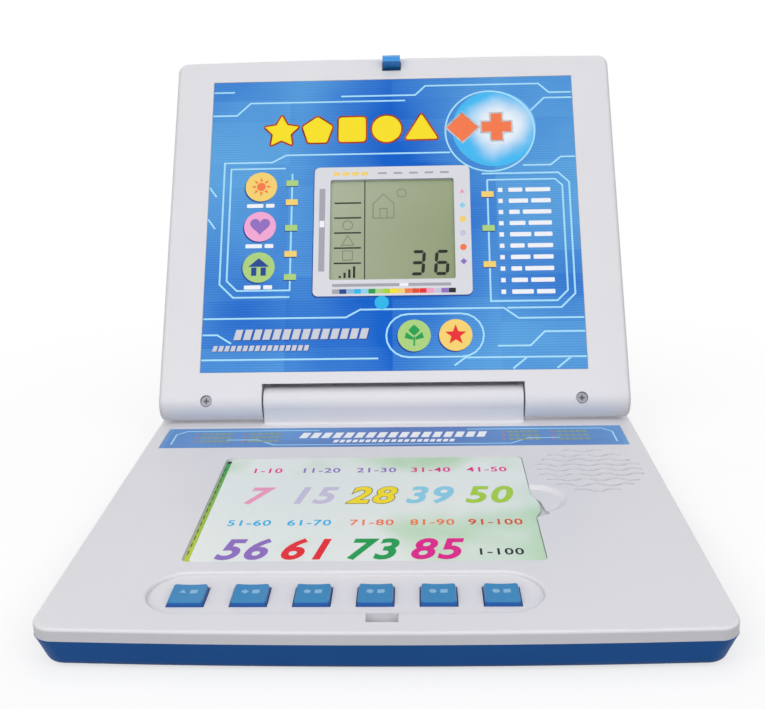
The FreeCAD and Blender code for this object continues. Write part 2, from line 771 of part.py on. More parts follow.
def cover_hump(body):
    """The fixed hump between the lid's knuckles: a round barrel on a neck, hollow, bored for the pins."""
    neck = new_sketch(body, "hump_neck", 0, "YZ_Plane")
    loop(
        neck,
        [
            (axis_y - s.barrel_radius, axis_z),
            (axis_y - s.hump_neck / 2, deck),
            (axis_y + s.hump_neck / 2, deck),
            (axis_y + s.barrel_radius, axis_z),
        ],
    )
    pad(neck, s.hump_width, both=True)
    barrel = new_sketch(body, "hump_barrel", 0, "YZ_Plane")
    disc(barrel, axis_y, axis_z, s.barrel_radius)
    pad(barrel, s.hump_width, both=True)
    round_edges(
        body,
        s.hump_flare,
        lambda edge: level(edge, top)
        and near(edge.BoundBox.XLength, s.hump_width)
        and 0 < axis_y.value - edge.BoundBox.Center.y < s.barrel_radius.value,
    )
    hollow = new_sketch(body, "hump_hollow", deck)
    half = s.hump_width / 2 - s.pin_in_hump
    depth = s.hump_neck / 2 - s.wall
    rectangle(hollow, -half, axis_y - depth, half, axis_y + depth)
    pocket(hollow, axis_z + s.barrel_radius / 2 - deck, back=True)
    bore = new_sketch(body, "hump_bore", 0, "YZ_Plane")
    disc(bore, axis_y, axis_z, s.pin_radius)
    pocket(bore, s.hump_width + 2 * s.wall, both=True)


def grille_slots():
    """Wavy grooves with a slot in each, as solids to cut away; rows nearer the edge are shorter."""
    body = new_body("grille_slots")
    for row in range(WAVE_ROWS):
        step = row - (WAVE_ROWS - 1) / 2
        share = 1 - (2 * step * s.slot_pitch.value / s.grille_depth.value) ** 2
        reach = s.grille_width.value / 2 * math.sqrt(max(share, 0.0))
        bends = max(2, round(2 * reach / (s.wave_length.value / 2)))
        y = s.grille_y + step * s.slot_pitch
        groove = new_sketch(body, f"groove_{row + 1}", top - s.groove_depth)
        wave(groove, y, bends, s.groove_width)
        pad(groove, s.groove_depth + s.slot_end)
        slot = new_sketch(body, f"slot_{row + 1}", deck - s.slot_end)
        wave(slot, y, bends, s.slot_width)
        pad(slot, s.wall + 2 * s.slot_end)
    return body


def base_bottom_shell():
    draft = -slope_angle(s.shell_draft, s.shell_height)
    body = base_block("shell_moulding", 0, s.shell_height, back=True, taper=draft)
    round_edges(body, s.shell_round, lambda edge: level(edge, s.foot_height))
    take_away(body, base_block("shell_hollow", s.wall, s.shell_height - s.wall, back=True, taper=draft))
    shell_battery_bay(body)
    posts = discs(body, "shell_posts", floor, base_post_spots(), s.post_radius)
    pad(posts, seam - floor)
    board_posts = discs(body, "board_posts", floor, board_post_spots(), s.boss_radius)
    pad(board_posts, s.board_lift)
    pilots = discs(body, "board_pilots", board_low, board_post_spots(), s.pilot_radius)
    pocket(pilots, s.board_lift - s.pilot_end)
    through = discs(body, "shell_screw_holes", seam, base_post_spots(), s.pilot_radius)
    pocket(through, s.shell_height)
    seats = discs(body, "shell_screw_seats", s.foot_height, base_post_spots(), s.head_radius + s.head_clear)
    pocket(seats, s.base_screw_seat, back=True)
    window = new_sketch(body, "switch_window", -back_edge, "XZ_Plane")
    half = (s.knob_length + s.knob_travel) / 2 + s.knob_clear
    rise = s.knob_height / 2 + s.knob_clear
    rectangle(window, s.switch_x - half, knob_z - rise, s.switch_x + half, knob_z + rise)
    pocket(window, back_edge - switch_back, back=True)
    return keep(body, "base_bottom_shell")


def shell_battery_bay(body):
    """A closed bay over the door's opening, with a ledge and a boss for the door's screw."""
    opening = new_sketch(body, "door_opening", floor)
    rectangle(opening, bay_left, bay_front, bay_right + s.door_tail, bay_back)
    pocket(opening, 2 * s.wall)
    outside = (
        bay_left - s.bay_wall,
        bay_front - s.bay_wall,
        bay_right + s.bay_wall,
        bay_back + s.bay_wall,
    )
    walls = new_sketch(body, "bay_walls", floor)
    rectangle(walls, *outside)
    rectangle(walls, bay_left, bay_front, bay_right, bay_back)
    pad(walls, s.bay_height)
    roof = new_sketch(body, "bay_roof", floor + s.bay_height)
    rectangle(roof, *outside)
    pad(roof, s.bay_roof)
    ledge = new_sketch(body, "door_ledge", floor)
    rectangle(
        ledge,
        bay_right,
        bay_front - s.bay_wall,
        bay_right + s.door_tail + s.bay_wall,
        bay_back + s.bay_wall,
    )
    pad(ledge, s.bay_wall)
    boss = discs(body, "door_boss", floor, [(door_screw_x, s.bay_y)], s.boss_radius)
    pad(boss, s.board_lift)
    pilot = discs(body, "door_pilot", floor, [(door_screw_x, s.bay_y)], s.pilot_radius)
    pocket(pilot, s.board_lift - s.pilot_end, back=True)


def base_fittings():
    """The strip, membrane, board, mat, screws, pins and feet of the base."""
    keep(
        block(
            "label_sheet",
            (-s.label_width / 2, label_back - s.label_depth, top - s.label_recess),
            (s.label_width / 2, label_back, top - s.label_recess + s.label_thick),
        ),
        "base_label",
    )
    keep(
        block(
            "membrane_sheet",
            (tray_left + s.tray_round / 6, tray_front + s.tray_round / 2, tray_floor),
            (tray_right - s.tray_round / 2, tray_back - s.tray_round / 2, tray_floor + s.pad_thick),
        ),
        "membrane_pad",
    )
    board = block(
        "main_board_blank",
        (s.key_row_x - s.board_width / 2, s.board_y - s.board_depth / 2, board_low),
        (s.key_row_x + s.board_width / 2, s.board_y + s.board_depth / 2, board_high),
    )
    holes = [
        rod(f"board_hole_{number}", (x, y, board_low - s.wall), s.pilot_radius, s.board_thick + 2 * s.wall)
        for number, (x, y) in enumerate(board_post_spots(), start=1)
    ]
    keep(cut("main_board_cut", board, holes), "main_board")
    half = s.key_pitch * (KEY_COUNT - 1) / 2 + s.mat_depth / 2
    mat = block(
        "key_mat_blank",
        (s.key_row_x - half, s.key_row_y - s.mat_depth / 2, board_high),
        (s.key_row_x + half, s.key_row_y + s.mat_depth / 2, board_high + s.mat_thick),
    )
    holes = [
        rod(
            f"mat_hole_{number + 1}",
            (key_x(number), s.key_row_y, board_high - s.wall),
            s.stem_radius + s.mat_relief,
            s.mat_thick + 2 * s.wall,
        )
        for number in range(KEY_COUNT)
    ]
    keep(cut("key_mat_cut", mat, holes), "key_mat")
    screws = [
        screw(f"board_screw_{number}", (x, y, board_high), s.board_screw_length)
        for number, (x, y) in enumerate(board_post_spots(), start=1)
    ]
    keep(group("board_screw_set", screws), "board_screws")
    screws = [
        screw(
            f"base_screw_{number}",
            (x, y, s.foot_height + s.base_screw_seat),
            s.base_screw_length,
            head_up=False,
        )
        for number, (x, y) in enumerate(base_post_spots(), start=1)
    ]
    keep(group("base_screw_set", screws), "base_screws")
    inner = s.hump_width / 2 - s.pin_in_hump
    length = s.pin_in_hump + s.hump_gap + s.pin_in_lid
    pins = [
        rod("hinge_pin_left", (-inner - length, axis_y, axis_z), s.pin_radius, length, ALONG_X),
        rod("hinge_pin_right", (inner, axis_y, axis_z), s.pin_radius, length, ALONG_X),
    ]
    keep(group("hinge_pin_set", pins), "hinge_pins")
    x = half_width - s.foot_inset
    y = back_edge - s.foot_inset
    feet = [
        rod(f"foot_{number}", (a * x, b * y, 0), s.foot_radius, s.foot_height)
        for number, (a, b) in enumerate([(-1, -1), (-1, 1), (1, -1), (1, 1)], start=1)
    ]
    keep(group("foot_set", feet), "rubber_feet")


def batteries():
    """Three cells on the door, their contacts, the door and its screw."""
    pitch = 2 * s.cell_radius + s.cell_clear
    middle = floor + s.cell_radius
    cells = []
    contacts = []
    for number in range(CELL_COUNT):
        y = s.bay_y + pitch * (number - (CELL_COUNT - 1) / 2)
        low = s.bay_x - s.cell_length / 2
        length = s.cell_length - s.nub_length
        can = rod(f"cell_can_{number + 1}", (low, y, middle), s.cell_radius, length, ALONG_X)
        nub = rod(
            f"cell_nub_{number + 1}",
            (low + length, y, middle),
            s.nub_radius,
            s.nub_length,
            ALONG_X,
        )
        cells.append(fuse(f"cell_{number + 1}", [can, nub]))
        for side, x in (("left", bay_left), ("right", bay_right - s.contact_thick)):
            contacts.append(
                block(
                    f"contact_{side}_{number + 1}",
                    (x, y - s.contact_side / 2, middle - s.contact_side / 2),
                    (x + s.contact_thick, y + s.contact_side / 2, middle + s.contact_side / 2),
                )
            )
    keep(group("cell_set", cells), "batteries")
    keep(group("contact_set", contacts), "battery_contacts")
    door = block(
        "door_blank",
        (bay_left + s.door_clear, bay_front + s.door_clear, s.foot_height),
        (bay_right + s.door_tail - s.door_clear, bay_back - s.door_clear, floor),
    )
    seat = floor - s.door_web
    sink = rod(
        "door_sink",
        (door_screw_x, s.bay_y, s.foot_height - s.wall),
        s.head_radius + s.head_clear,
        seat - s.foot_height + s.wall,
    )
    hole = rod("door_hole", (door_screw_x, s.bay_y, s.foot_height), s.pilot_radius, 2 * s.wall)
    keep(cut("door_cut", door, [sink, hole]), "battery_cover")
    head = rod("door_screw_head", (door_screw_x, s.bay_y, s.foot_height), s.head_radius, seat - s.foot_height)
    shank = rod("door_screw_shank", (door_screw_x, s.bay_y, seat), s.shank_radius, s.board_screw_length)
    keep(fuse("door_screw", [head, shank]), "battery_cover_screw")


def revolve(label, profile, place):
    """A body turned about its own Z axis from (radius, height) points."""
    body = new_body(f"{label}_turned")
    sketch = new_sketch(body, f"{label}_profile", 0, "XZ_Plane")
    loop(sketch, profile)
    item = body.newObject("PartDesign::Revolution", f"{label}_revolution")
    item.Profile = sketch
    item.ReferenceAxis = (sketch, ["V_Axis"])
    item.Angle = 360
    for letter, size in zip("xyz", place):
        bind(body, f"Placement.Base.{letter}", size)
    doc.recompute()
    return keep(body, label)


def speaker():
    place = (s.grille_x, s.grille_y, deck)
    rim = s.speaker_radius
    inner = rim - s.speaker_rim
    plate = s.speaker_plate
    depth = s.speaker_depth
    thick = s.basket_wall
    revolve(
        "speaker_basket",
        [
            (0, -depth),
            (plate, -depth),
            (inner, -thick - s.cone_thick),
            (rim, -thick - s.cone_thick),
            (rim, 0),
            (inner, 0),
            (plate - thick, thick - depth),
            (0, thick - depth),
        ],
        place,
    )
    edge = inner - s.cone_gap
    middle = plate / 2
    low = 2 * thick - depth
    revolve(
        "speaker_cone",
        [
            (0, low),
            (middle, low),
            (edge, -s.cone_thick - s.speaker_clear),
            (edge, -s.speaker_clear),
            (middle, low + s.cone_thick),
            (0, low + s.cone_thick),
        ],
        place,
    )
    magnet = rod(
        "magnet_disc",
        (s.grille_x, s.grille_y, deck - depth - s.magnet_height),
        s.magnet_radius,
        s.magnet_height,
    )
    keep(magnet, "speaker_magnet")


def power_switch():
    """A slide switch on the shell's floor behind a window in the back wall."""
    left = s.switch_x - s.switch_length / 2
    right = s.switch_x + s.switch_length / 2
    body = block(
        "switch_block",
        (left, switch_back - s.switch_depth, floor),
        (right, switch_back, floor + s.switch_height),
    )
    rise = s.knob_height / 2 - s.knob_clear
    reach = s.switch_depth / 2
    groove = block(
        "switch_groove",
        (left + s.bay_wall, switch_back - reach, knob_z - rise - s.knob_clear),
        (right - s.bay_wall, switch_back + s.wall, knob_z + rise + s.knob_clear),
    )
    keep(cut("switch_cut", body, [groove]), "power_switch_body")
    start = s.switch_x - s.knob_travel / 2 - s.knob_length / 2
    knob = block(
        "knob_block",
        (start, switch_back + s.knob_clear, knob_z - s.knob_height / 2),
        (start + s.knob_length, knob_back, knob_z + s.knob_height / 2),
    )
    tongue = block(
        "knob_tongue",
        (start, switch_back - reach + s.knob_clear, knob_z - rise),
        (start + s.knob_length, switch_back + s.wall, knob_z + rise),
    )
    keep(fuse("knob_piece", [knob, tongue]), "power_switch_slider")


def key(number):
    """A square key that draws in to a dished top, kept in by a flange, with a stem below."""
    name = f"key_{number + 1}"
    x = key_x(number)
    y = s.key_row_y
    half = s.key_side / 2
    body = new_body(f"{name}_moulding")
    foot = new_sketch(body, f"{name}_foot", panel_floor)
    rectangle(foot, x - half, y - half, x + half, y + half)
    rise = s.panel_recess + s.key_rise
    pad(foot, rise, taper=-slope_angle(s.key_draft, rise))
    round_edges(body, s.key_round, lambda edge: near(edge.BoundBox.ZLength, rise, 0.05))
    reach = half - s.key_draft
    bow = (reach * reach + s.key_dish * s.key_dish) / (2 * s.key_dish)
    dish = new_sketch(body, f"{name}_dish", -y, "XZ_Plane")
    disc(dish, x, top + s.key_rise - s.key_dish + bow, bow)
    pocket(dish, 2 * s.key_side, both=True)
    shaft = new_sketch(body, f"{name}_shaft", panel_floor)
    rectangle(shaft, x - half, y - half, x + half, y + half)
    pad(shaft, s.wall + s.key_clear, back=True)
    flange = new_sketch(body, f"{name}_flange", flange_high)
    wide = half + s.key_flange
    rectangle(flange, x - wide, y - wide, x + wide, y + wide)
    pad(flange, s.flange_thick, back=True)
    stem = new_sketch(body, f"{name}_stem", flange_high - s.flange_thick)
    disc(stem, x, y, s.stem_radius)
    pad(stem, flange_high - s.flange_thick - board_high - s.key_travel - s.key_clear, back=True)
    return keep(body, name)


def activity_card():
    """A thin card with a thumb tab on its right side, lying on the membrane."""
    body = new_body("card_blank")
    left = tray_left + s.card_margin
    right = tray_right - s.card_clear
    plan = new_sketch(body, "card_plan", tray_floor + s.pad_thick)
    rectangle(plan, left, tray_front + s.card_clear, right, tray_back - s.card_clear)
    pad(plan, s.card_thick)
    round_edges(body, s.tray_round, upright)
    tab = new_sketch(body, "card_tab", tray_floor + s.pad_thick)
    loop(
        tab,
        [
            (right - s.tab_reach, s.tab_y - tab_half),
            (right, s.tab_y - tab_half, s.tab_radius, (right + s.tab_reach, s.tab_y)),
            (right, s.tab_y + tab_half),
            (right - s.tab_reach, s.tab_y + tab_half),
        ],
    )
    pad(tab, s.card_thick)
    return keep(body, "activity_card")


def lid_plan(sketch, inset, start):
    """Plan of the lid from start to its bowed top edge, drawn in by inset."""
    half = lid_side - inset
    crown = s.lid_length - inset
    shoulder = crown - s.lid_bow
    radius = (half * half + s.lid_bow * s.lid_bow) / (2 * s.lid_bow)
    loop(sketch, [(-half, start), (half, start), (half, shoulder, radius, (0, crown)), (-half, shoulder)])


def lid_hollow(name, front, edge_round):
    """The room inside one half of the lid, with round corners and edges."""
    body = new_body(name)
    depth = face - s.wall
    plan = new_sketch(body, f"{name}_plan")
    lid_plan(plan, s.wall, s.knuckle_depth)
    pad(plan, depth, back=not front)
    round_edges(body, s.lid_corner - s.wall, upright)
    round_edges(body, edge_round, lambda edge: level(edge, depth if front else -depth))
    return body


def lid_half(name, front, edge_round):
    """One half of the lid: a shell with round knuckles, a notch round the hump and bores for the pins."""
    body = new_body(f"{name}_moulding")
    sign = 1 if front else -1
    plan = new_sketch(body, f"{name}_plan")
    lid_plan(plan, 0, 0)
    pad(plan, face, back=not front)
    knuckle = new_sketch(body, f"{name}_knuckle", 0, "YZ_Plane")
    diagonal = face / math.sqrt(2)
    loop(knuckle, [(-face, 0), (0, 0), (0, sign * face, face, (-diagonal, sign * diagonal))])
    pad(knuckle, 2 * lid_side, both=True)
    round_edges(
        body,
        s.lid_corner,
        lambda edge: upright(edge) and near(edge.BoundBox.Center.y, s.lid_length - s.lid_bow),
    )

    def rim(edge):
        box = edge.BoundBox
        at_face = level(edge, sign * face) and not (near(box.YMin, 0) and near(box.YMax, 0))
        at_end = box.XLength < 0.01 and near(abs(box.Center.x), lid_side) and box.YMin < -face.value / 2
        return at_face or (at_end and box.ZLength > face.value / 2)

    round_edges(body, edge_round, rim)
    take_away(body, lid_hollow(f"{name}_hollow", front, edge_round - s.wall))
    passage = new_sketch(body, f"{name}_passage")
    rectangle(passage, s.wall - notch_half, 0, notch_half - s.wall, s.knuckle_depth + s.wall)
    pocket(passage, face - s.wall, back=front)
    notch = new_sketch(body, f"{name}_notch", 0, "YZ_Plane")
    disc(notch, 0, 0, s.notch_radius)
    pocket(notch, 2 * notch_half, both=True)
    bore = new_sketch(body, f"{name}_bore", 0, "YZ_Plane")
    disc(bore, 0, 0, s.pin_radius + s.pin_run)
    pocket(bore, 2 * (notch_half + s.pin_in_lid + s.hump_gap), both=True)
    return body


def lid_screw_spots():
    return [(-s.lid_screw_x, s.lid_screw_y), (s.lid_screw_x, s.lid_screw_y)]


def lid_boss_spots():
    x = glass_half + s.frame_wall + s.sheet_clear + s.boss_radius + s.board_lap
    y = s.boss_radius + s.board_lap
    return [(a * x, v) for a in (-1, 1) for v in (glass_low + y, glass_high - y)]


def lid_front_cover():
    body = lid_half("lid_front", True, s.lid_round)
    seat = new_sketch(body, "sheet_seat", face)
    rectangle(
        seat,
        -s.panel_sheet_width / 2 - s.sheet_clear,
        s.panel_sheet_low - s.sheet_clear,
        s.panel_sheet_width / 2 + s.sheet_clear,
        s.panel_sheet_high + s.sheet_clear,
    )
    pocket(seat, s.sheet_recess)
    window = new_sketch(body, "screen_window", face)
    rectangle(window, -s.window_width / 2, s.window_low, s.window_width / 2, s.window_high)
    pocket(window, s.wall + s.sheet_recess)
    slot = new_sketch(body, "hook_slot", face)
    half = s.hook_width / 2 + s.latch_clear
    rectangle(slot, -half, s.hook_near - s.latch_travel - s.latch_clear, half, hook_far + s.latch_clear)
    pocket(slot, s.wall + s.sheet_recess)
    holes = discs(body, "lid_screw_holes", face, lid_screw_spots(), s.pilot_radius)
    pocket(holes, face)
    sinks = discs(body, "lid_screw_sinks", face, lid_screw_spots(), s.head_radius + s.head_clear)
    pocket(sinks, s.lid_screw_sink)
    bosses = discs(body, "screen_bosses", glass_front, lid_boss_spots(), s.boss_radius)
    pad(bosses, glass_front - lid_board_high, back=True)
    pilots = discs(body, "screen_pilots", lid_board_high, lid_boss_spots(), s.pilot_radius)
    pocket(pilots, glass_front - lid_board_high - s.pilot_end, back=True)
    ribs = new_sketch(body, "latch_ribs", glass_front)
    for sign in (-1, 1):
        near_x = s.hook_width / 2 + 2 * s.latch_clear
        far_x = near_x + s.bay_wall
        low, high = (near_x, far_x) if sign > 0 else (-far_x, -near_x)
        rectangle(ribs, low, plate_low, high, hook_far)
    pad(ribs, glass_front + s.latch_plate_drop - s.latch_clear, back=True)
    return keep(body, "lid_front_cover", lid=True)


def lid_back_cover():
    body = lid_half("lid_back", False, s.back_round)
    inside = s.wall - face
    pilots = discs(body, "lid_screw_pilots", 0, lid_screw_spots(), s.pilot_radius)
    pocket(pilots, s.lid_screw_length + s.lid_screw_sink - face + s.wall)
    opening = new_sketch(body, "button_opening", -s.lid_length, "XZ_Plane")
    half = s.button_width / 2 + s.latch_clear
    rectangle(opening, -half, button_low - s.latch_clear, half, button_high + s.latch_clear)
    pocket(opening, s.lid_length - plate_high, back=True)
    shelf = new_sketch(body, "latch_shelf", inside)
    side = s.latch_plate_width / 2 + s.latch_clear
    for low, high in ((-side - s.bay_wall, -side), (side, side + s.bay_wall)):
        rectangle(shelf, low, plate_low - s.latch_travel, high, plate_high)
    pad(shelf, -s.latch_plate_drop - inside)
    bed = new_sketch(body, "latch_bed", inside)
    bed_low = plate_low + s.bay_wall
    bed_high = button_front - s.latch_travel - s.latch_clear
    rectangle(bed, -side - s.bay_wall, bed_low, side + s.bay_wall, bed_high)
    pad(bed, plate_floor - s.latch_clear - inside)
    block_high = plate_low - s.spring_length + s.spring_lead
    socket = new_sketch(body, "spring_block", inside)
    bore = s.spring_radius + s.spring_wire + s.latch_clear
    rectangle(socket, -bore - s.bay_wall, block_high - socket_length, bore + s.bay_wall, block_high)
    pad(socket, spring_z + s.spring_radius - inside)
    hole = new_sketch(body, "spring_socket", -block_high, "XZ_Plane")
    disc(hole, 0, spring_z, bore)
    pocket(hole, socket_length - s.bay_wall, back=True)
    return keep(body, "lid_back_cover", lid=True)


def lid_fittings():
    """The printed sheet, the screen and its board, and the lid's screws."""
    body = new_body("sheet_blank")
    plan = new_sketch(body, "sheet_plan", sheet_seat)
    half = s.panel_sheet_width / 2
    rectangle(plan, -half, s.panel_sheet_low, half, s.panel_sheet_high)
    rectangle(plan, -s.window_width / 2, s.window_low, s.window_width / 2, s.window_high)
    pad(plan, s.sheet_thick)
    keep(body, "lid_overlay", lid=True)
    front = block(
        "front_glass",
        (-glass_half, glass_low, glass_front - s.glass_thick),
        (glass_half, glass_high, glass_front),
    )
    keep(group("front_glass_place", [front]), "lcd_front_glass", lid=True)
    rear = block(
        "rear_glass",
        (-glass_half, glass_low + s.ledge, glass_front - 2 * s.glass_thick),
        (glass_half, glass_high - s.ledge, glass_front - s.glass_thick),
    )
    keep(group("rear_glass_place", [rear]), "lcd_rear_glass", lid=True)
    edge = (s.ledge - s.strip_width) / 2
    strips = [
        block(
            f"contact_strip_{number}",
            (-glass_half, low, lid_board_high),
            (glass_half, low + s.strip_width, glass_front - s.glass_thick),
        )
        for number, low in ((1, glass_low + edge), (2, glass_high - edge - s.strip_width))
    ]
    keep(group("contact_strips", strips), "zebra_strips", lid=True)
    inner = s.sheet_clear
    outer = inner + s.frame_wall
    rim = block(
        "frame_blank",
        (-glass_half - outer, glass_low - outer, lid_board_high),
        (glass_half + outer, glass_high + outer, glass_front),
    )
    room = block(
        "frame_room",
        (-glass_half - inner, glass_low - inner, lid_board_high - s.wall),
        (glass_half + inner, glass_high + inner, glass_front + s.wall),
    )
    keep(group("frame_place", [cut("frame_cut", rim, [room])]), "lcd_holder", lid=True)
    wide = glass_half + outer + 2 * s.boss_radius + 2 * s.board_lap
    board = block(
        "lid_board_blank",
        (-wide, glass_low - outer, lid_board_high - s.board_thick),
        (wide, glass_high + outer, lid_board_high),
    )
    holes = [
        rod(
            f"lid_board_hole_{number}",
            (x, y, lid_board_high - s.board_thick - s.wall),
            s.pilot_radius,
            s.board_thick + 2 * s.wall,
        )
        for number, (x, y) in enumerate(lid_boss_spots(), start=1)
    ]
    keep(group("lid_board_place", [cut("lid_board_cut", board, holes)]), "lid_board", lid=True)
    screws = [
        screw(
            f"lid_board_screw_{number}",
            (x, y, lid_board_high - s.board_thick),
            s.board_screw_length,
            head_up=False,
        )
        for number, (x, y) in enumerate(lid_boss_spots(), start=1)
    ]
    keep(group("lid_board_screw_set", screws), "lid_board_screws", lid=True)
    screws = [
        screw(f"lid_screw_{number}", (x, y, face - s.lid_screw_sink), s.lid_screw_length)
        for number, (x, y) in enumerate(lid_screw_spots(), start=1)
    ]
    keep(group("lid_screw_set", screws), "lid_screws", lid=True)


def latch():
    """A slide in the lid's top edge: a plate, a hook with a nose, and a button."""
    body = new_body("latch_moulding")
    plate = new_sketch(body, "latch_plate", -s.latch_plate_drop)
    half = s.latch_plate_width / 2
    rectangle(plate, -half, plate_low, half, plate_high)
    pad(plate, s.latch_plate_thick, back=True)
    button = new_sketch(body, "latch_button", button_high)
    half = s.button_width / 2
    rectangle(button, -half, button_front, half, s.lid_length - s.button_flush)
    pad(button, s.button_height, back=True)
    hook = new_sketch(body, "latch_hook", -s.latch_plate_drop)
    half = s.hook_width / 2
    rectangle(hook, -half, s.hook_near, half, hook_far)
    pad(hook, hook_tip + s.latch_plate_drop)
    nose = new_sketch(body, "latch_nose", 0, "YZ_Plane")
    loop(
        nose,
        [
            (hook_far - s.hook_nose, nose_low),
            (hook_far + s.hook_nose, nose_low),
            (hook_far + s.hook_nose, nose_low + s.nose_height / 3),
            (hook_far, hook_tip),
            (hook_far - s.hook_nose, hook_tip),
        ],
    )
    pad(nose, s.hook_width, both=True)
    keep(body, "latch", lid=True)


def latch_spring():
    """A coil between the latch plate and its socket."""
    coil = doc.addObject("Part::Helix", "spring_line")
    bind(coil, "Radius", s.spring_radius)
    bind(coil, "Height", s.spring_length - 2 * s.spring_wire)
    bind(coil, "Pitch", (s.spring_length - 2 * s.spring_wire) / s.spring_turns)
    wire = doc.addObject("Part::RegularPolygon", "spring_section")
    wire.Polygon = 6
    wire.Placement.Rotation = FreeCAD.Rotation(FreeCAD.Vector(1, 0, 0), 90)
    bind(wire, "Circumradius", s.spring_wire)
    bind(wire, "Placement.Base.x", s.spring_radius)
    doc.recompute()
    sweep = doc.addObject("Part::Sweep", "spring_coil")
    sweep.Sections = [wire]
    sweep.Spine = (coil, ["Edge1"])
    sweep.Solid = True
    sweep.Frenet = True
    sweep.Placement.Rotation = FreeCAD.Rotation(FreeCAD.Vector(1, 0, 0), 90)
    bind(sweep, "Placement.Base.y", plate_low - s.spring_wire)
    bind(sweep, "Placement.Base.z", spring_z)
    keep(group("spring_place", [sweep]), "latch_spring", lid=True)


base_top_cover()
base_bottom_shell()
base_fittings()
batteries()
speaker()
power_switch()
for place in range(KEY_COUNT):
    key(place)
activity_card()
lid_front_cover()
lid_back_cover()
lid_fittings()
latch()
latch_spring()
doc.recompute()

for item in doc.Objects:
    if "Invalid" in item.State or "Error" in item.State:
        raise ValueError(f"{item.Label} has the state {item.State}")
os.makedirs("parts", exist_ok=True)
for item in parts:
    if item.Shape.isNull() or not item.Shape.isValid():
        raise ValueError(f"{item.Label} has no sound shape")
    item.Shape.exportStep(f"parts/{item.Label}.step")
print(f"{len(parts)} sub-parts written")
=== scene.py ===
# %% [markdown]
# # A toy laptop computer, dressed for its picture
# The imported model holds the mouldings, screws and boards at their real size. This lesson adds what
# a moulder and a screen printer would add: the finish of each plastic, and the inks on each sheet.

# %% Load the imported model
import json
import math

import bmesh
import bpy
from mathutils import Matrix, Vector


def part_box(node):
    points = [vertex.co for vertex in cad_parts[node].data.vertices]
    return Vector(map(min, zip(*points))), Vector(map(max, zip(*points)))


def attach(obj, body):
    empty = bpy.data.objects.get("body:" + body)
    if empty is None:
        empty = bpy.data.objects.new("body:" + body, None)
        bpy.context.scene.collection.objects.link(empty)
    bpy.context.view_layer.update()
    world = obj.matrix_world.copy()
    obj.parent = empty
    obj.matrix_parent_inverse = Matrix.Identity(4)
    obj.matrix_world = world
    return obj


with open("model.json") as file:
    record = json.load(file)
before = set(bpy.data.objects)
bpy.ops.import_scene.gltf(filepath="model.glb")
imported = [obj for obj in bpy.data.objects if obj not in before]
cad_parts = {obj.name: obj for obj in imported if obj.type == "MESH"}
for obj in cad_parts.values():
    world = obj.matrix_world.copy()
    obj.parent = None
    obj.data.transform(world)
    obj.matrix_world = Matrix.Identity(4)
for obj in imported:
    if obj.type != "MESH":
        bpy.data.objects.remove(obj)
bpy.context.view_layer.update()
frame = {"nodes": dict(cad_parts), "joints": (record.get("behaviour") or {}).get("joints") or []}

MM = 0.001
joints = {joint["name"]: joint for joint in frame["joints"]}

# %% [markdown]
# ## Where the lid lies
# The lid leans back on its hinge, so a print drawn flat has to be turned onto it. The latch slides
# along the lid, so its axis gives the lid's own "up", and the hinge gives the starting point. A
# matrix made from these follows the model, with no angle typed in twice.

# %% A place on the lid, the base, the card and a key
hinge_point = Vector(joints["lid_hinge"]["pos_m"])
lid_up = -Vector(joints["latch_press"]["axis"])
lid_right = Vector((1, 0, 0))
lid_out = lid_right.cross(lid_up)
lid_turn = Matrix((lid_right, lid_up, lid_out)).transposed()
lid_place = Matrix.Translation(hinge_point) @ lid_turn.to_4x4()


def lid_height(node):
    """How far a node's outer face stands out from the hinge line, square to the lid."""
    from_lid = lid_place.inverted()
    return max((from_lid @ corner.co).z for corner in frame["nodes"][node].data.vertices)


def level(height):
    """A place on a level face at that height, in metres."""
    return Matrix.Translation((0, 0, height))


sheet_place = lid_place @ level(lid_height("lid_overlay"))
glass_place = lid_place @ level(lid_height("lcd_front_glass"))
strip_place = level(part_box("base_label")[1].z)
card_place = level(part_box("activity_card")[1].z)
print("lid leans", round(math.degrees(math.atan2(lid_up.y, lid_up.z)), 1), "degrees from upright")

# %% [markdown]
# ## Colours and nodes
# Printers and moulders match colours by eye on a screen, so each colour is written as the hex value
# that the eye sees, and one function turns it into the linear light that the renderer works in.
# Another adds a node, sets it and links it, so that each finish below reads as a recipe.

# %% The helpers that every finish uses
MIX_FACTOR, MIX_A, MIX_B, MIX_COLOUR = 0, 6, 7, 2


def linear(code):
    """Turns a hex colour as seen on a screen into linear light."""
    parts = [int(code[place:place + 2], 16) / 255 for place in (1, 3, 5)]
    return [p / 12.92 if p <= 0.04045 else ((p + 0.055) / 1.055) ** 2.4 for p in parts] + [1]


def fill(tree, node, inputs):
    """Gives each named socket of a node its value or its link."""
    for socket, value in inputs.items():
        if isinstance(value, bpy.types.NodeSocket):
            tree.links.new(value, node.inputs[socket])
        else:
            node.inputs[socket].default_value = value


def add_node(tree, kind, inputs=None, **settings):
    """Adds one node with its settings and its inputs."""
    node = tree.nodes.new(kind)
    for name, value in settings.items():
        setattr(node, name, value)
    fill(tree, node, inputs or {})
    return node


def two_colours(tree, amount, first, last):
    """Mixes two hex colours by an amount from 0 to 1, and gives back the mixed colour."""
    inputs = {MIX_FACTOR: amount, MIX_A: linear(first), MIX_B: linear(last)}
    return add_node(tree, "ShaderNodeMix", inputs, data_type="RGBA").outputs[MIX_COLOUR]


def new_finish(name):
    """Starts a material, and gives back its tree, its shader and its coordinates."""
    finish = bpy.data.materials.new(name)
    finish.use_nodes = True
    tree = finish.node_tree
    place = add_node(tree, "ShaderNodeTexCoord").outputs["Object"]
    return finish, tree, tree.nodes["Principled BSDF"], place


def per_mm(size):
    """The scale at which a texture repeats about once in that many millimetres."""
    return 1 / (size * MM)


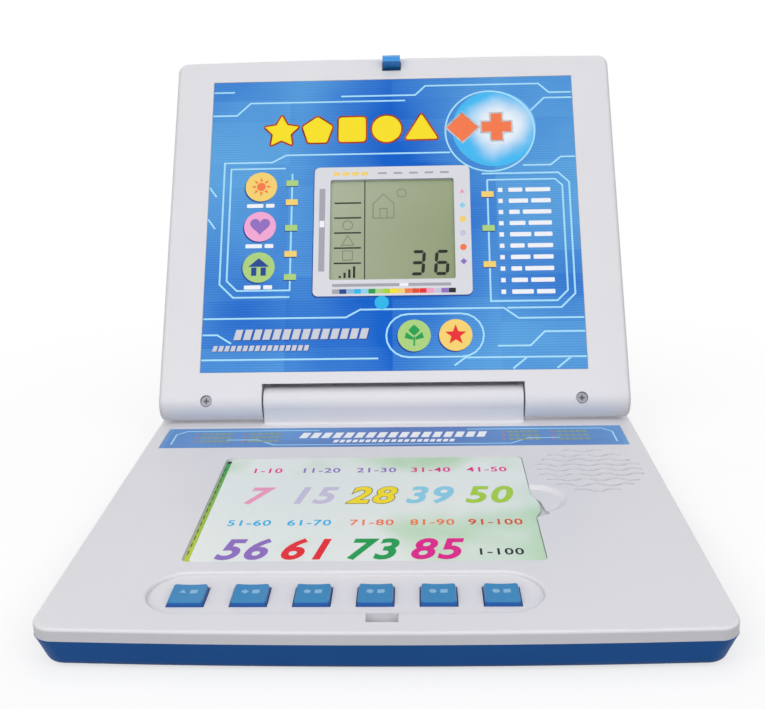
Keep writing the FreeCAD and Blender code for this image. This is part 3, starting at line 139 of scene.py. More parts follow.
def noise(tree, place, size, **inputs):
    """A noise from 0 to 1 with patches of about that many millimetres."""
    inputs = {"Vector": place, "Scale": per_mm(size), **inputs}
    return add_node(tree, "ShaderNodeTexNoise", inputs).outputs["Fac"]


def remap(tree, value, start, end, low, high, way="LINEAR"):
    """Spreads a value that runs from start to end over the range from low to high."""
    inputs = {"Value": value, "From Min": start, "From Max": end, "To Min": low, "To Max": high}
    node = add_node(tree, "ShaderNodeMapRange", inputs, interpolation_type=way)
    return node.outputs["Result"]


def roughen(tree, height, strength, depth):
    """Bumps the surface by a noise, to a depth in millimetres, and gives back the normal."""
    inputs = {"Strength": strength, "Distance": depth * MM, "Height": height}
    return add_node(tree, "ShaderNodeBump", inputs).outputs["Normal"]


print("mid grey in linear light:", round(linear("#808080")[0], 3))

# %% [markdown]
# ## Moulded ABS
# The shells and the latch are injection-moulded ABS. The mould is polished and then lightly
# blasted, so the skin is satin: broad soft highlights, broken by a fine grain. Flow of the melt
# leaves faint cloudy patches in the colour and the gloss. Two noises give both: one of a few
# centimetres for the clouds, one below a millimetre for the grain. The true grain is about 0.1 mm
# and can't show from a step away, so it is drawn at 0.5 mm.

# %% A finish for any moulded ABS
ABS_IOR = 1.53
CLOUD_MM = 35
GRAIN_MM = 0.5
GRAIN_DEPTH_MM = 0.05
GRAIN_STRENGTH = 0.06
GLOSS_SWING = 0.05


def moulded_abs(name, colour, cloud, rough, shine=0.5):
    """Satin moulded plastic: cloudy colour and gloss under a fine blasted grain."""
    finish, tree, shader, place = new_finish(name)
    clouds = noise(tree, place, CLOUD_MM, Detail=3)
    tint = two_colours(tree, clouds, colour, cloud)
    gloss = remap(tree, clouds, 0, 1, rough - GLOSS_SWING, rough + GLOSS_SWING)
    grain = roughen(tree, noise(tree, place, GRAIN_MM), GRAIN_STRENGTH, GRAIN_DEPTH_MM)
    fill(tree, shader, {"Base Color": tint, "Roughness": gloss, "Normal": grain})
    fill(tree, shader, {"IOR": ABS_IOR, "Specular IOR Level": shine})
    return finish


# Cool white shell: reads as clean moulded white with a lilac cast in the shade.
white_abs = moulded_abs("white_moulded_abs", "#DEDDE1", "#D9D8DD", 0.4, 0.3)
# Deep blue tray: darker, from a rougher mould that shines little.
blue_abs = moulded_abs("deep_blue_moulded_abs", "#2162AE", "#1D5AA2", 0.45, 0.12)
# Latch: a lighter blue than the tray's.
latch_abs = moulded_abs("latch_blue_moulded_abs", "#3A94DE", "#358CD4", 0.3, 0.25)
# Inner holders: plain black plastic.
black_abs = moulded_abs("black_moulded_abs", "#1C1C1F", "#232327", 0.5)
print("moulded finishes:", [m.name for m in bpy.data.materials if "abs" in m.name])

# %% [markdown]
# ## Metals, rubber, paper and board
# What is under the covers is seen only when the part is taken apart, or from below. Each still has
# its own look: zinc plate is grey with a fine brushed streak, rubber is dull with a dusty bloom,
# a board is green lacquer over copper tracks, and a loudspeaker cone is pressed paper fibre.

# %% Finishes of the hidden and small pieces
STREAK_MM = 0.4
STREAK_SWING = 0.1
GRIT_STRENGTH = 0.4
TRACK_MM = 5
TRACK_EDGE = 0.08


def plated_metal(name, colour, rough):
    """Plated steel: fine streaks from the drawing of the wire or sheet change the gloss."""
    finish, tree, shader, place = new_finish(name)
    drawn = add_node(tree, "ShaderNodeMapping", {"Vector": place, "Scale": (1, 1, 0.2)})
    streak = noise(tree, drawn.outputs[0], STREAK_MM)
    gloss = remap(tree, streak, 0, 1, rough - STREAK_SWING, rough + STREAK_SWING)
    fill(tree, shader, {"Base Color": linear(colour), "Metallic": 1, "Roughness": gloss})
    return finish


def dull_solid(name, colour, other, size, rough, depth):
    """A dull rough material: two close colours in a noise of that size, which also roughens it."""
    finish, tree, shader, place = new_finish(name)
    grit = noise(tree, place, size, Detail=4)
    tint = two_colours(tree, grit, colour, other)
    bump = roughen(tree, grit, GRIT_STRENGTH, depth)
    fill(tree, shader, {"Base Color": tint, "Roughness": rough, "Normal": bump})
    return finish


def lacquered_board(name):
    """Green lacquer over copper: tracks show as lighter bands round cells of a few millimetres."""
    finish, tree, shader, place = new_finish(name)
    tracks = add_node(
        tree,
        "ShaderNodeTexVoronoi",
        {"Vector": place, "Scale": per_mm(TRACK_MM)},
        feature="DISTANCE_TO_EDGE",
        distance="EUCLIDEAN",
    )
    edge = remap(tree, tracks.outputs["Distance"], 0, TRACK_EDGE, 0, 1)
    tint = two_colours(tree, edge, "#3F8A4B", "#1E5A30")
    fill(tree, shader, {"Base Color": tint, "Roughness": 0.3})
    return finish


# Zinc-plated screws, pins and spring: a cool grey, slightly streaked.
zinc_steel = plated_metal("zinc_plated_steel", "#74747C", 0.4)
# Nickel-plated contacts and speaker basket: warmer and softer.
nickel_sheet = plated_metal("nickel_plated_sheet", "#C9C6BE", 0.38)
# Wrapped cell: a plain foil sleeve, darker than the metal below it.
cell_wrap = plated_metal("battery_foil_sleeve", "#6E7077", 0.3)
# Rubber feet and contact mat: soft black with a grey bloom.
soft_rubber = dull_solid("soft_black_rubber", "#2A2A2C", "#38383A", 1.5, 0.8, 0.03)
# Speaker cone: black pressed paper with a felted fibre.
cone_paper = dull_solid("pressed_cone_paper", "#232323", "#343331", 0.8, 0.9, 0.08)
# Magnet: sintered ferrite, a fine dark grit.
ferrite = dull_solid("sintered_ferrite", "#2B2B2E", "#3B3B3F", 0.6, 0.6, 0.04)
board_lacquer = lacquered_board("green_board_lacquer")
print("inner finishes ready:", len(bpy.data.materials), "materials so far")

# %% [markdown]
# ## The printed sheets
# The lid's picture sheet and the base's long strip are thin polycarbonate, screen-printed in blue
# behind a satin face. Real ones show fine ruled lines across the blue and a drifting depth of ink.
# A painted reflection of the side lamps is laid into the colour as well: the blue is paler towards
# the sides and deeper in the middle, and square patches are partly uneven ink and partly the
# reflection's dark band. A wave texture rules the lines, noise read on a snapped grid gives the
# patches their square edges, and the distance from the middle line deepens the blue. All are turned
# onto the sheet with a Mapping node, so that they lie along its edges.

# %% A ruled blue print
RULE_MM = 1.5
PATCH_MM = 14
PATCH_RUN_MM = 60
PATCH_NOISE_MM = 70
DRIFT_MM = 90
REFLECTION_PALE_FROM_MM = 55
REFLECTION_DEEP_MIDDLE = 0.2
PALE_SUM, DEEP_SUM = 0.14, 0.46
WAVE_TURNS = 20


def ruled_print(name, pale, deep, origin, turn):
    """A ruled blue print, square to its sheet, with soft square patches and painted reflection."""
    finish, tree, shader, place = new_finish(name)
    sheet = add_node(
        tree,
        "ShaderNodeMapping",
        {"Vector": place, "Location": origin, "Rotation": turn},
        vector_type="TEXTURE",
    ).outputs["Vector"]
    # Square patches: partly uneven ink, partly the painted reflection's dark band.
    cell = (PATCH_RUN_MM * MM, PATCH_MM * MM, 1)
    square = add_node(tree, "ShaderNodeVectorMath", {0: sheet, 1: cell}, operation="SNAP")
    patch = noise(tree, square.outputs[0], PATCH_NOISE_MM)
    drift = noise(tree, sheet, DRIFT_MM)
    # Painted reflection: the blue is deepened near the middle line and left paler towards the sides.
    split = add_node(tree, "ShaderNodeSeparateXYZ", {"Vector": sheet})
    aside = add_node(tree, "ShaderNodeMath", {0: split.outputs["X"]}, operation="ABSOLUTE")
    middle = remap(tree, aside.outputs[0], 0, REFLECTION_PALE_FROM_MM * MM, REFLECTION_DEEP_MIDDLE, 0)
    both = add_node(
        tree, "ShaderNodeMath", {0: patch, 1: drift, 2: middle}, operation="MULTIPLY_ADD"
    )
    amount = remap(tree, both.outputs[0], PALE_SUM, DEEP_SUM, 0, 1)
    tint = two_colours(tree, amount, pale, deep)
    rules = add_node(
        tree,
        "ShaderNodeTexWave",
        {"Vector": sheet, "Scale": 2 * math.pi / WAVE_TURNS * per_mm(RULE_MM)},
        wave_type="BANDS",
        bands_direction="Y",
    )
    shade = remap(tree, rules.outputs["Fac"], 0, 1, 0.88, 1.06)
    ruled = add_node(tree, "ShaderNodeVectorMath", {0: tint, "Scale": shade}, operation="SCALE")
    ruled = ruled.outputs[0]
    fill(tree, shader, {"Base Color": ruled, "Roughness": 0.4, "Specular IOR Level": 0.08})
    return finish


# The pale blue of each pair is the ink lightened by a painted reflection; the deep blue is nearer
# the ink's own.
sheet_blue = ruled_print(
    "blue_screen_printed_polycarbonate", "#5EA5E0", "#0A60CA", hinge_point, lid_turn.to_euler()
)
strip_blue = ruled_print("blue_screen_printed_strip", "#6CA5DE", "#5C7BBE", (0, 0, 0), (0, 0, 0))
print("printed sheets:", sheet_blue.name, strip_blue.name)

# %% [markdown]
# ## Card, membrane, screen and keys
# The card is coated paper printed with pale green clouds. The film under it fades from green to
# yellow. The screen is polarised glass over a reflector: grey-green, with a painted reflection that
# darkens one side, and a hard polish. The keys are lighter on top than round their skirts, from a
# painted sheen of the overhead light. Noise makes the clouds, and a ramp along the model's own axes
# makes the fades.

# %% Finishes of the card, the film, the screen and the keys
CARD_CLOUD_MM = 55
CLOUD_EDGE, CLOUD_CORE = 0.5, 0.74
MOTTLE_MM = 8
SKIRT_MM, TOP_MM = 0.9, 0.5


def cloudy_card(name):
    """Coated card: white stock under soft green clouds."""
    finish, tree, shader, place = new_finish(name)
    clouds = noise(tree, place, CARD_CLOUD_MM, Detail=2, Roughness=0.4)
    amount = remap(tree, clouds, CLOUD_EDGE, CLOUD_CORE, 0, 1, "SMOOTHSTEP")
    tint = two_colours(tree, amount, "#E6EBE7", "#B4D8B0")
    fill(tree, shader, {"Base Color": tint, "Roughness": 0.35})
    return finish


def faded(name, axis, start, end, first, last, rough, mottle, shine=0.5):
    """A colour that fades along one axis of the model, with a small mottle over it."""
    finish, tree, shader, place = new_finish(name)
    split = add_node(tree, "ShaderNodeSeparateXYZ", {"Vector": place})
    along = remap(tree, split.outputs[axis], start, end, 0, 1)
    spread = add_node(
        tree,
        "ShaderNodeMath",
        {0: noise(tree, place, MOTTLE_MM), 1: mottle, 2: along},
        operation="MULTIPLY_ADD",
    )
    tint = two_colours(tree, spread.outputs[0], first, last)
    fill(tree, shader, {"Base Color": tint, "Roughness": rough, "Specular IOR Level": shine})
    return finish


film_low, film_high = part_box("membrane_pad")
glass_low, glass_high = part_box("lcd_front_glass")
key_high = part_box("key_1")[1]
coated_card = cloudy_card("cloudy_coated_card")
# Membrane film: yellow-green at the front, leaf green at the back, dull.
membrane_film = faded(
    "fading_membrane_film", "Y", film_low.y, film_high.y, "#C6D327", "#2E9A3C", 0.5, 0.2
)
# Screen: grey-green, a painted reflection makes it darker and more olive to the right; glass-smooth.
screen_glass = faded(
    "polarised_screen_glass", "X", glass_low.x, glass_high.x, "#A3AD92", "#8B9870", 0.12, 0.05
)
# Key caps: a darker skirt up to just below the rim, and a top lighter from a painted sheen.
key_abs = faded(
    "key_blue_moulded_abs",
    "Z",
    key_high.z - SKIRT_MM * MM,
    key_high.z - TOP_MM * MM,
    "#28579F",
    "#3C86BA",
    0.3,
    0.05,
    shine=0.15,
)
print("card, film, screen and key finishes ready")

# %% [markdown]
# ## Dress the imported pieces
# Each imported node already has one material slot, named for its finish. Putting the new material in
# that slot keeps the node's shape untouched.

# %% Give every node its finish
finishes = {
    "white_shell": white_abs,
    "blue_shell": blue_abs,
    "key_blue": key_abs,
    "latch_blue": latch_abs,
    "printed_strip": strip_blue,
    "printed_sheet": sheet_blue,
    "printed_card": coated_card,
    "membrane": membrane_film,
    "screen_glass": screen_glass,
    "dark_plastic": black_abs,
    "circuit_board": board_lacquer,
    "rubber": soft_rubber,
    "screw_steel": zinc_steel,
    "contact_metal": nickel_sheet,
    "battery_can": cell_wrap,
    "speaker_paper": cone_paper,
    "magnet": ferrite,
}
for node in frame["nodes"].values():
    for place, old in enumerate(node.data.materials):
        node.data.materials[place] = finishes[old.name.split(".")[0]]
print("dressed", len(frame["nodes"]), "nodes")

# %% [markdown]
# ## Inks
# Screen ink dries as a film a few hundredths of a millimetre thick, a little uneven from the mesh
# it was pushed through. Each ink is one colour with a faint speckle at the mesh's pitch, drawn
# coarser than the real 0.1 mm so that it shows.

# %% A finish for any ink
MESH_MM = 0.8


def screen_ink(name, colour):
    """Dried screen ink: one colour with a faint speckle."""
    finish, tree, shader, place = new_finish(name)
    shade = remap(tree, noise(tree, place, MESH_MM), 0, 1, 0.93, 1.05)
    tint = add_node(
        tree, "ShaderNodeVectorMath", {0: linear(colour)[:3], "Scale": shade}, operation="SCALE"
    )
    tint = tint.outputs[0]
    fill(tree, shader, {"Base Color": tint, "Roughness": 0.42, "Specular IOR Level": 0.2})
    return finish


ink_colours = {
    "white": "#F0F1F6",
    "line_cyan": "#A6DEFA",
    "deep_blue": "#123F8E",
    "yellow": "#F6DE1A",
    "red": "#DC4B23",
    "orange": "#F27748",
    "leaf": "#A9CF7C",
    "gold": "#F3D06E",
    "pink": "#F0A6D2",
    "dot_cyan": "#27B2E6",
    "frame_grey": "#D9DAE0",
    "mid_grey": "#A4A4AE",
    "silver": "#C9CCD6",
    "segment": "#161A12",
    "segment_faint": "#6F7A66",
    "key_print": "#88B6D8",
    "rose": "#EE9CC0",
    "lilac": "#C9C2DC",
    "sky": "#8CCDE6",
    "lime": "#A5CE3A",
    "purple": "#8F6CBE",
    "crimson": "#E6252E",
    "green": "#159A4B",
    "magenta": "#E0168C",
    "black": "#17171A",
    "recess_shade_dark": "#4A4B50",
    "dull_rose": "#B97F86",
    "dull_green": "#8C9F86",
    "groove_shade_grey": "#B2B1B7",
}
inks = {name: screen_ink(f"{name}_screen_ink", code) for name, code in ink_colours.items()}
print(len(inks), "inks mixed")

# %% [markdown]
# ## How a print becomes a piece
# A print could be a texture, but then it would need a picture file, and it would blur when seen
# close. Here each colour is a flat bmesh of simple shapes that is lifted by the ink's thickness, so
# its edges stay sharp. Lines are drawn as a chain of edges, pulled up into a low wall, and a
# Solidify modifier spreads the wall to the line's width, with clean mitred corners.

# %% Lay filled shapes and lines on a face
FILM = 0.03 * MM


def new_object(name, bm, finish):
    """Turns a bmesh into an object with one finish."""
    mesh = bpy.data.meshes.new(name)
    bm.to_mesh(mesh)
    bm.free()
    mesh.materials.append(finish)
    made = bpy.data.objects.new(name, mesh)
    bpy.context.scene.collection.objects.link(made)
    return made


def finish_piece(name, bm, finish, body):
    """Turns a bmesh into a piece that rides on a body."""
    piece = new_object(name, bm, finish)
    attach(piece, body)
    return piece


def raise_film(bm, new_geometry, place, layer):
    """Lifts what was just extruded by one film, and sets the whole on its layer of the face."""
    lifted = [item for item in new_geometry if isinstance(item, bmesh.types.BMVert)]
    bmesh.ops.translate(bm, vec=(0, 0, FILM), verts=lifted)
    bmesh.ops.recalc_face_normals(bm, faces=bm.faces[:])
    spot = place @ Matrix.Translation((0, 0, layer * FILM))
    bmesh.ops.transform(bm, matrix=spot, verts=bm.verts[:])


def lay_shapes(name, bm, finish, body, place, layer):
    """Prints flat filled shapes."""
    made = bmesh.ops.extrude_face_region(bm, geom=bm.faces[:])
    raise_film(bm, made["geom"], place, layer)
    return finish_piece(name, bm, finish, body)


def print_on_lid(name, bm, ink, layer):
    """Prints flat filled shapes on the lid's sheet."""
    lay_shapes(name, bm, inks[ink], "lid", sheet_place, layer)


def lay_lines(name, bm, width, finish, body, place, layer):
    """Prints chains of edges as lines of one width, in millimetres."""
    made = bmesh.ops.extrude_edge_only(bm, edges=bm.edges[:])
    raise_film(bm, made["geom"], place, layer)
    piece = finish_piece(name, bm, finish, body)
    spread = piece.modifiers.new("line_width", "SOLIDIFY")
    spread.thickness = width * MM
    spread.offset = 0
    spread.use_even_offset = True


# %% [markdown]
# ## The printer's basic shapes
# Discs, bars, polygons, stars and lines cover everything on this toy. Each comes from one bmesh
# operator or from its corners, and corners are rounded by a vertex bevel.

# %% Discs, bars, polygons, stars and lines
def disc(bm, x, y, radius, steps=48):
    """A filled circle. With few steps it is a regular polygon with a corner at the top."""
    spot = Matrix.Translation((x * MM, y * MM, 0))
    made = bmesh.ops.create_circle(
        bm, cap_ends=True, segments=steps, radius=radius * MM, matrix=spot
    )
    return made["verts"]


def soften(bm, corners, radius):
    """Rounds the corners of a flat shape."""
    bmesh.ops.bevel(
        bm,
        geom=corners,
        offset=radius * MM,
        offset_type="OFFSET",
        segments=5,
        profile=0.5,
        affect="VERTICES",
        material=-1,
    )


def bar(bm, left, low, right, high, corner=0, slant=0):
    """A filled upright rectangle, with round corners or leaning sides if asked."""
    middle = Vector(((left + right) / 2, (low + high) / 2, 0)) * MM
    size = Matrix.Diagonal(((right - left) * MM, (high - low) * MM, 1, 1))
    lean = Matrix(((1, slant, 0, 0), (0, 1, 0, 0), (0, 0, 1, 0), (0, 0, 0, 1)))
    made = bmesh.ops.create_grid(
        bm,
        x_segments=1,
        y_segments=1,
        size=0.5,
        matrix=Matrix.Translation(middle) @ lean @ size,
    )
    if corner:
        soften(bm, made["verts"], corner)
    return made["verts"]


def polygon(bm, corners):
    """A filled shape through a few corners."""
    verts = [bm.verts.new((x * MM, y * MM, 0)) for x, y in corners]
    bm.faces.new(verts)
    return verts


def star(bm, x, y, radius, inner):
    """A five-pointed star: its corners lie on two circles in turn, with one at the top."""
    corners = []
    for step in range(10):
        angle = step * math.pi / 5
        reach = radius * (inner if step % 2 else 1)
        corners.append((x - reach * math.sin(angle), y + reach * math.cos(angle)))
    return polygon(bm, corners)


def line(bm, corners, closed=False):
    """A chain of edges to print as a line."""
    verts = [bm.verts.new((x * MM, y * MM, 0)) for x, y in corners]
    ends = verts[1:] + verts[:1] if closed else verts[1:]
    for first, last in zip(verts, ends):
        bm.edges.new((first, last))


def ring(bm, x, y, radius, steps):
    """A circle to print as a line."""
    spot = Matrix.Translation((x * MM, y * MM, 0))
    bmesh.ops.create_circle(bm, cap_ends=False, segments=steps, radius=radius * MM, matrix=spot)


def outset(bm, amount):
    """Grows flat shapes outwards all round, as a printer spreads an outline."""
    bmesh.ops.inset_region(
        bm,
        faces=bm.faces[:],
        thickness=-amount * MM,
        use_boundary=True,
        use_even_offset=True,
    )


print("film of", round(FILM / MM, 3), "mm")

# %% [markdown]
# ## Light lines on the lid sheet
# The sheet is decorated like a circuit: thin light lines that run along the sheet and turn at a
# slant. They are printed first, straight onto the blue.

# %% Circuit lines
LINE_MM = 1.0
rim = 106.2

lid_lines = bmesh.new()
for route in (
    [(rim, 184), (93, 184), (87, 190), (20, 190), (14, 184), (-30, 184)],
    [(rim, 180.5), (90, 180.5), (80, 170.5)],
    [(8, 180.5), (-84, 180.5), (-92, 172.5), (-rim, 172.5)],
    [(-rim, 188), (-94, 188)],
    [(34, 146), (-62, 146), (-70, 141.5), (-98, 141.5), (-98, 66), (-90, 58), (-58, 58)],
    [(-62, 137.5), (-94, 137.5), (-94, 68), (-88, 62), (-58, 62), (-58, 134)],
    [(52, 132), (96, 132), (102, 126), (102, 58), (94, 50), (64, 50)],
    [(55, 128), (94, 128), (98, 124), (98, 60), (92, 54), (55, 54), (55, 128)],
    [(rim, 142), (98, 142), (92, 137), (76, 137)],
    [(rim, 44), (70, 44), (62, 50), (-18, 50), (-26, 45.5), (-rim, 45.5)],
    [(rim, 21.5), (40, 21.5), (34, 17)],
    [(rim, 36), (84, 36), (76, 28), (58, 28)],
    [(-8, 21.5), (-rim, 21.5)],
    [(-rim, 36), (-98, 36), (-90, 31)],
    [(-102, 120), (-rim, 126)],
    [(-102, 100), (-rim, 106)],
    [(90, 15), (98, 21.5)],
    [(66, 15), (74, 21.5)],
):
    line(lid_lines, route)
lay_lines("circuit_lines", lid_lines, LINE_MM, inks["line_cyan"], "lid", sheet_place, 0)

# %% [markdown]
# ## The glowing disc
# Behind the headline sits a pale disc that glows from its middle. Its ink is a split-fountain
# print, in which white runs into cyan. The distance from a point near the middle gives that run of
# colour, and a noise makes it wander.

# %% Disc and ring
WANDER_MM, WANDER = 22, 0.5
WHITE_TO, CYAN_FROM = 0.55, 1.2
disc_x, disc_y, disc_radius = 60, 161, 24.5


def glowing_ink(name, middle, radius):
    """White ink that runs into cyan towards the edge of a disc."""
    finish, tree, shader, place = new_finish(name)
    spot = add_node(tree, "ShaderNodeVectorMath", {0: place, 1: middle}, operation="DISTANCE")
    reach = add_node(
        tree,
        "ShaderNodeMath",
        {0: noise(tree, place, WANDER_MM), 1: radius * WANDER, 2: spot.outputs["Value"]},
        operation="MULTIPLY_ADD",
    )
    start, end = radius * WHITE_TO, radius * CYAN_FROM
    run = remap(tree, reach.outputs[0], start, end, 0, 1, "SMOOTHSTEP")
    tint = two_colours(tree, run, "#E6EDF4", "#1FAFEA")
    fill(tree, shader, {"Base Color": tint, "Roughness": 0.4})
    return finish


glow_middle = sheet_place @ Vector(((disc_x + 3) * MM, (disc_y + 2) * MM, 0))
glow = glowing_ink("white_to_cyan_screen_ink", glow_middle, disc_radius * MM)
shape = bmesh.new()
disc(shape, disc_x, disc_y, disc_radius, 96)
lay_shapes("headline_disc", shape, glow, "lid", sheet_place, 1)
shape = bmesh.new()
ring(shape, disc_x - 2.5, disc_y - 1.5, disc_radius + 1.5, 96)
lay_lines("headline_ring", shape, LINE_MM, inks["line_cyan"], "lid", sheet_place, 2)
print("disc of", 2 * disc_radius, "mm")

# %% [markdown]
# ## The headline shapes
# A row of plain shapes stands across the top: two in orange on the disc, five in yellow beside it.
# Each is printed twice, once grown by an outset for the outline and once at its own size on top.

# %% Orange and yellow shapes with outlines
HEADLINE_Y = 162
HEADLINE_HIGH = 8.6
PLUS_ARM = 3.2
SQUARE_HALF = 8


def plus_sign(bm, x, y, reach, arm):
    """A plus of two crossing bars, as one outline: a corner of three points, turned four times."""
    corners, quarter = [], [(arm, reach), (arm, arm), (reach, arm)]
    for _ in range(4):
        corners += quarter
        quarter = [(b, -a) for a, b in quarter]
    polygon(bm, [(x + a, y + b) for a, b in corners])


def headline(bm, kind):
    """Adds the two orange shapes or the five yellow ones."""
    y = HEADLINE_Y
    if kind == "orange":
        plus_sign(bm, 61.5, y, HEADLINE_HIGH, PLUS_ARM)
        disc(bm, 41.5, y, HEADLINE_HIGH + 0.6, 4)
    else:
        soften(bm, disc(bm, 17.5, y - 1.5, HEADLINE_HIGH + 2.6, 3), 1.6)
        disc(bm, -3, y, HEADLINE_HIGH)
        x = -23.3
        bar(bm, x - SQUARE_HALF, y - SQUARE_HALF, x + SQUARE_HALF, y + SQUARE_HALF, corner=2)
        soften(bm, disc(bm, -43.8, y - 0.6, HEADLINE_HIGH + 0.8, 5), 1.2)
        soften(bm, star(bm, -65, y - 0.8, HEADLINE_HIGH + 2, 0.52)[::2], 0.8)


for kind, outline in (("orange", "white"), ("yellow", "red")):
    for layer, grow, ink in ((3, 1.0, outline), (4, 0, kind)):
        shape = bmesh.new()
        headline(shape, kind)
        if grow:
            outset(shape, grow)
        print_on_lid(f"headline_{kind}_{ink}", shape, ink, layer)
print("headline shapes printed")

# %% [markdown]
# ## The list on the right
# Ten short lines, each with a white square in front, fill the right box. They are plain dashes,
# drawn by one loop.

# %% Bullets and dashes
ROWS, ROW_PITCH, FIRST_ROW = 10, 6.9, 121.5
BULLET_LEFT, LIST_LEFT, LIST_RIGHT = 61, 67, 91
DASH_HALF, DASH_GAP, DASH_CORNER = 1.3, 1.8, 0.5
FIRST_DASHES = (8, 11, 6, 9, 12)

shape = bmesh.new()
for row in range(ROWS):
    y = FIRST_ROW - ROW_PITCH * row
    low, high = y - DASH_HALF, y + DASH_HALF
    split = LIST_LEFT + FIRST_DASHES[row % len(FIRST_DASHES)]
    bar(shape, BULLET_LEFT, low, BULLET_LEFT + 2 * DASH_HALF, high)
    bar(shape, LIST_LEFT, low, split, high, corner=DASH_CORNER)
    bar(shape, split + DASH_GAP, low, LIST_RIGHT, high, corner=DASH_CORNER)
print_on_lid("list_dashes", shape, "white", 1)
print("list of", ROWS, "rows")

# %% [markdown]
# ## Round badges
# Five round badges carry simple pictures. Each is a disc over a darker, slightly lower disc that
# reads as its shadow, with the picture on top.

# %% Badges and their pictures
BADGE = 9.2


def sun(bm, x, y):
    """A round sun with eight pointed rays."""
    disc(bm, x, y, 2.6)
    for turn in range(8):
        angle = turn * math.pi / 4
        along = Vector((math.cos(angle), math.sin(angle)))
        side = Vector((-along.y, along.x))
        centre = Vector((x, y))
        tips = (along * 3.4 + side * 0.9, along * 3.4 - side * 0.9, along * 6)
        polygon(bm, [centre + tip for tip in tips])


def house(bm, x, y):
    """A house: a roof over a square wall with two windows left out."""
    polygon(bm, [(x - 6, y + 0.4), (x + 6, y + 0.4), (x, y + 5.6)])
    bar(bm, x - 4.2, y - 5, x - 1.2, y)
    bar(bm, x + 1.2, y - 5, x + 4.2, y)


def leaf(bm, x, y):
    """A sprig: two side leaves and a top leaf beside a stalk."""
    bar(bm, x - 0.5, y - 6, x + 0.5, y - 0.6)
    for lean in (-0.7, 0.7):
        corners = ((1, -2.6), (7.7, -1.4), (6.3, 2), (1, -1))
        polygon(bm, [(x + lean * a, y + b) for a, b in corners])
    soften(bm, disc(bm, x, y + 3, 3.4, 4), 0.9)


def heart(bm, x, y):
    """A heart from the usual curve of sines and cosines."""
    corners = []
    for step in range(40):
        t = step * math.pi / 20
        up = 13 * math.cos(t) - 5 * math.cos(2 * t) - 2 * math.cos(3 * t) - math.cos(4 * t)
        corners.append((x - 0.36 * 16 * math.sin(t) ** 3, y + 0.6 + 0.36 * up))
    polygon(bm, corners)


def five_star(bm, x, y):
    """A plain five-pointed star."""
    star(bm, x, y, 6.2, 0.42)


badges = (
    ("gold", "orange", sun, -76, 126),
    ("pink", "purple", heart, -76, 101),
    ("leaf", "deep_blue", house, -76, 76),
    ("gold", "crimson", five_star, 35, 34.5),
    ("leaf", "green", leaf, 12, 34.5),
)
shape = bmesh.new()
for _, _, _, x, y in badges:
    disc(shape, x - 0.6, y - 0.7, BADGE)
print_on_lid("badge_shadows", shape, "deep_blue", 1)
for number, (ground, ink, picture, x, y) in enumerate(badges, start=1):
    shape = bmesh.new()
    disc(shape, x, y, BADGE)
    print_on_lid(f"badge_{number}", shape, ground, 2)
    shape = bmesh.new()
    picture(shape, x, y)
    print_on_lid(f"badge_{number}_picture", shape, ink, 3)
shape = bmesh.new()
for _, _, _, x, y in badges[:3]:
    bar(shape, x - 8, y - 13.2, x + 1.5, y - 10.8, corner=DASH_CORNER)
    bar(shape, x + 3, y - 13.2, x + 8, y - 10.8, corner=DASH_CORNER)
print_on_lid("badge_dashes", shape, "white", 1)
print(len(badges), "badges")

# %% [markdown]
# ## The loop round the lower badges, and the small chips
# A pill-shaped line runs round the two lower badges. It is a bar with its corners rounded until the
# ends are half circles, of which only the boundary is kept. Small yellow and green chips sit on the
# lines like parts on a circuit board.

# %% Loop and chips
shape = bmesh.new()
soften(shape, bar(shape, -3.5, 22, 50.5, 47), 12.4)
bmesh.ops.delete(shape, geom=shape.faces[:], context="FACES_ONLY")
lay_lines("badge_loop", shape, LINE_MM, inks["line_cyan"], "lid", sheet_place, 2)

chips = {
    "gold": [(55, 119), (55, 76), (-58, 116), (-58, 84)],
    "leaf": [(55, 98), (-58, 128), (-58, 100), (-58, 70)],
}
shape = bmesh.new()
for x, y in chips["gold"] + chips["leaf"]:
    bar(shape, x - 3.7, y - 2.4, x + 3.3, y + 1.4)
print_on_lid("chip_shadows", shape, "deep_blue", 1)
for ink, spots in chips.items():
    shape = bmesh.new()
    for x, y in spots:
        bar(shape, x - 3.5, y - 1.8, x + 3.5, y + 1.8)
    print_on_lid(f"chips_{ink}", shape, ink, 2)
shape = bmesh.new()
disc(shape, -6, 54, 4)
print_on_lid("cyan_dot", shape, "dot_cyan", 2)
print(sum(len(spots) for spots in chips.values()), "chips")

# %% [markdown]
# ## Silver blocks
# A row of slanted silver blocks with a dark edge runs along the bottom, and a smaller row below it.

# %% Two rows of slanted blocks
SLANT = 0.25


def block_row(bm, count, left, pitch, wide, low, high, slant=SLANT):
    """A row of blocks, which lean unless they are asked not to."""
    for block in range(count):
        x = left + pitch * block
        bar(bm, x, low, x + wide, high, slant=slant)


for layer, ink, shift in ((1, "deep_blue", 0.5), (2, "silver", 0)):
    shape = bmesh.new()
    block_row(shape, 14, -88 + shift, 5.4, 4, 33 - shift, 39 - shift)
    shift *= 0.6
    block_row(shape, 16, -100 + shift, 3.4, 2.4, 26.5 - shift, 29.7 - shift)
    print_on_lid(f"block_row_{ink}", shape, ink, layer)
print("block rows printed")

# %% [markdown]
# ## The frame round the screen
# A pale grey frame is printed round the screen's window. It is filled between an outer rounded loop
# and the window's own outline, which a triangle fill does in one step. Colour samples, a slider and
# a few marks are printed on it.

# %% Screen frame
window_half, window_low, window_high = 35.7, 67.8, 129.6
frame_half, frame_low, frame_high = 45, 58.1, 137.6


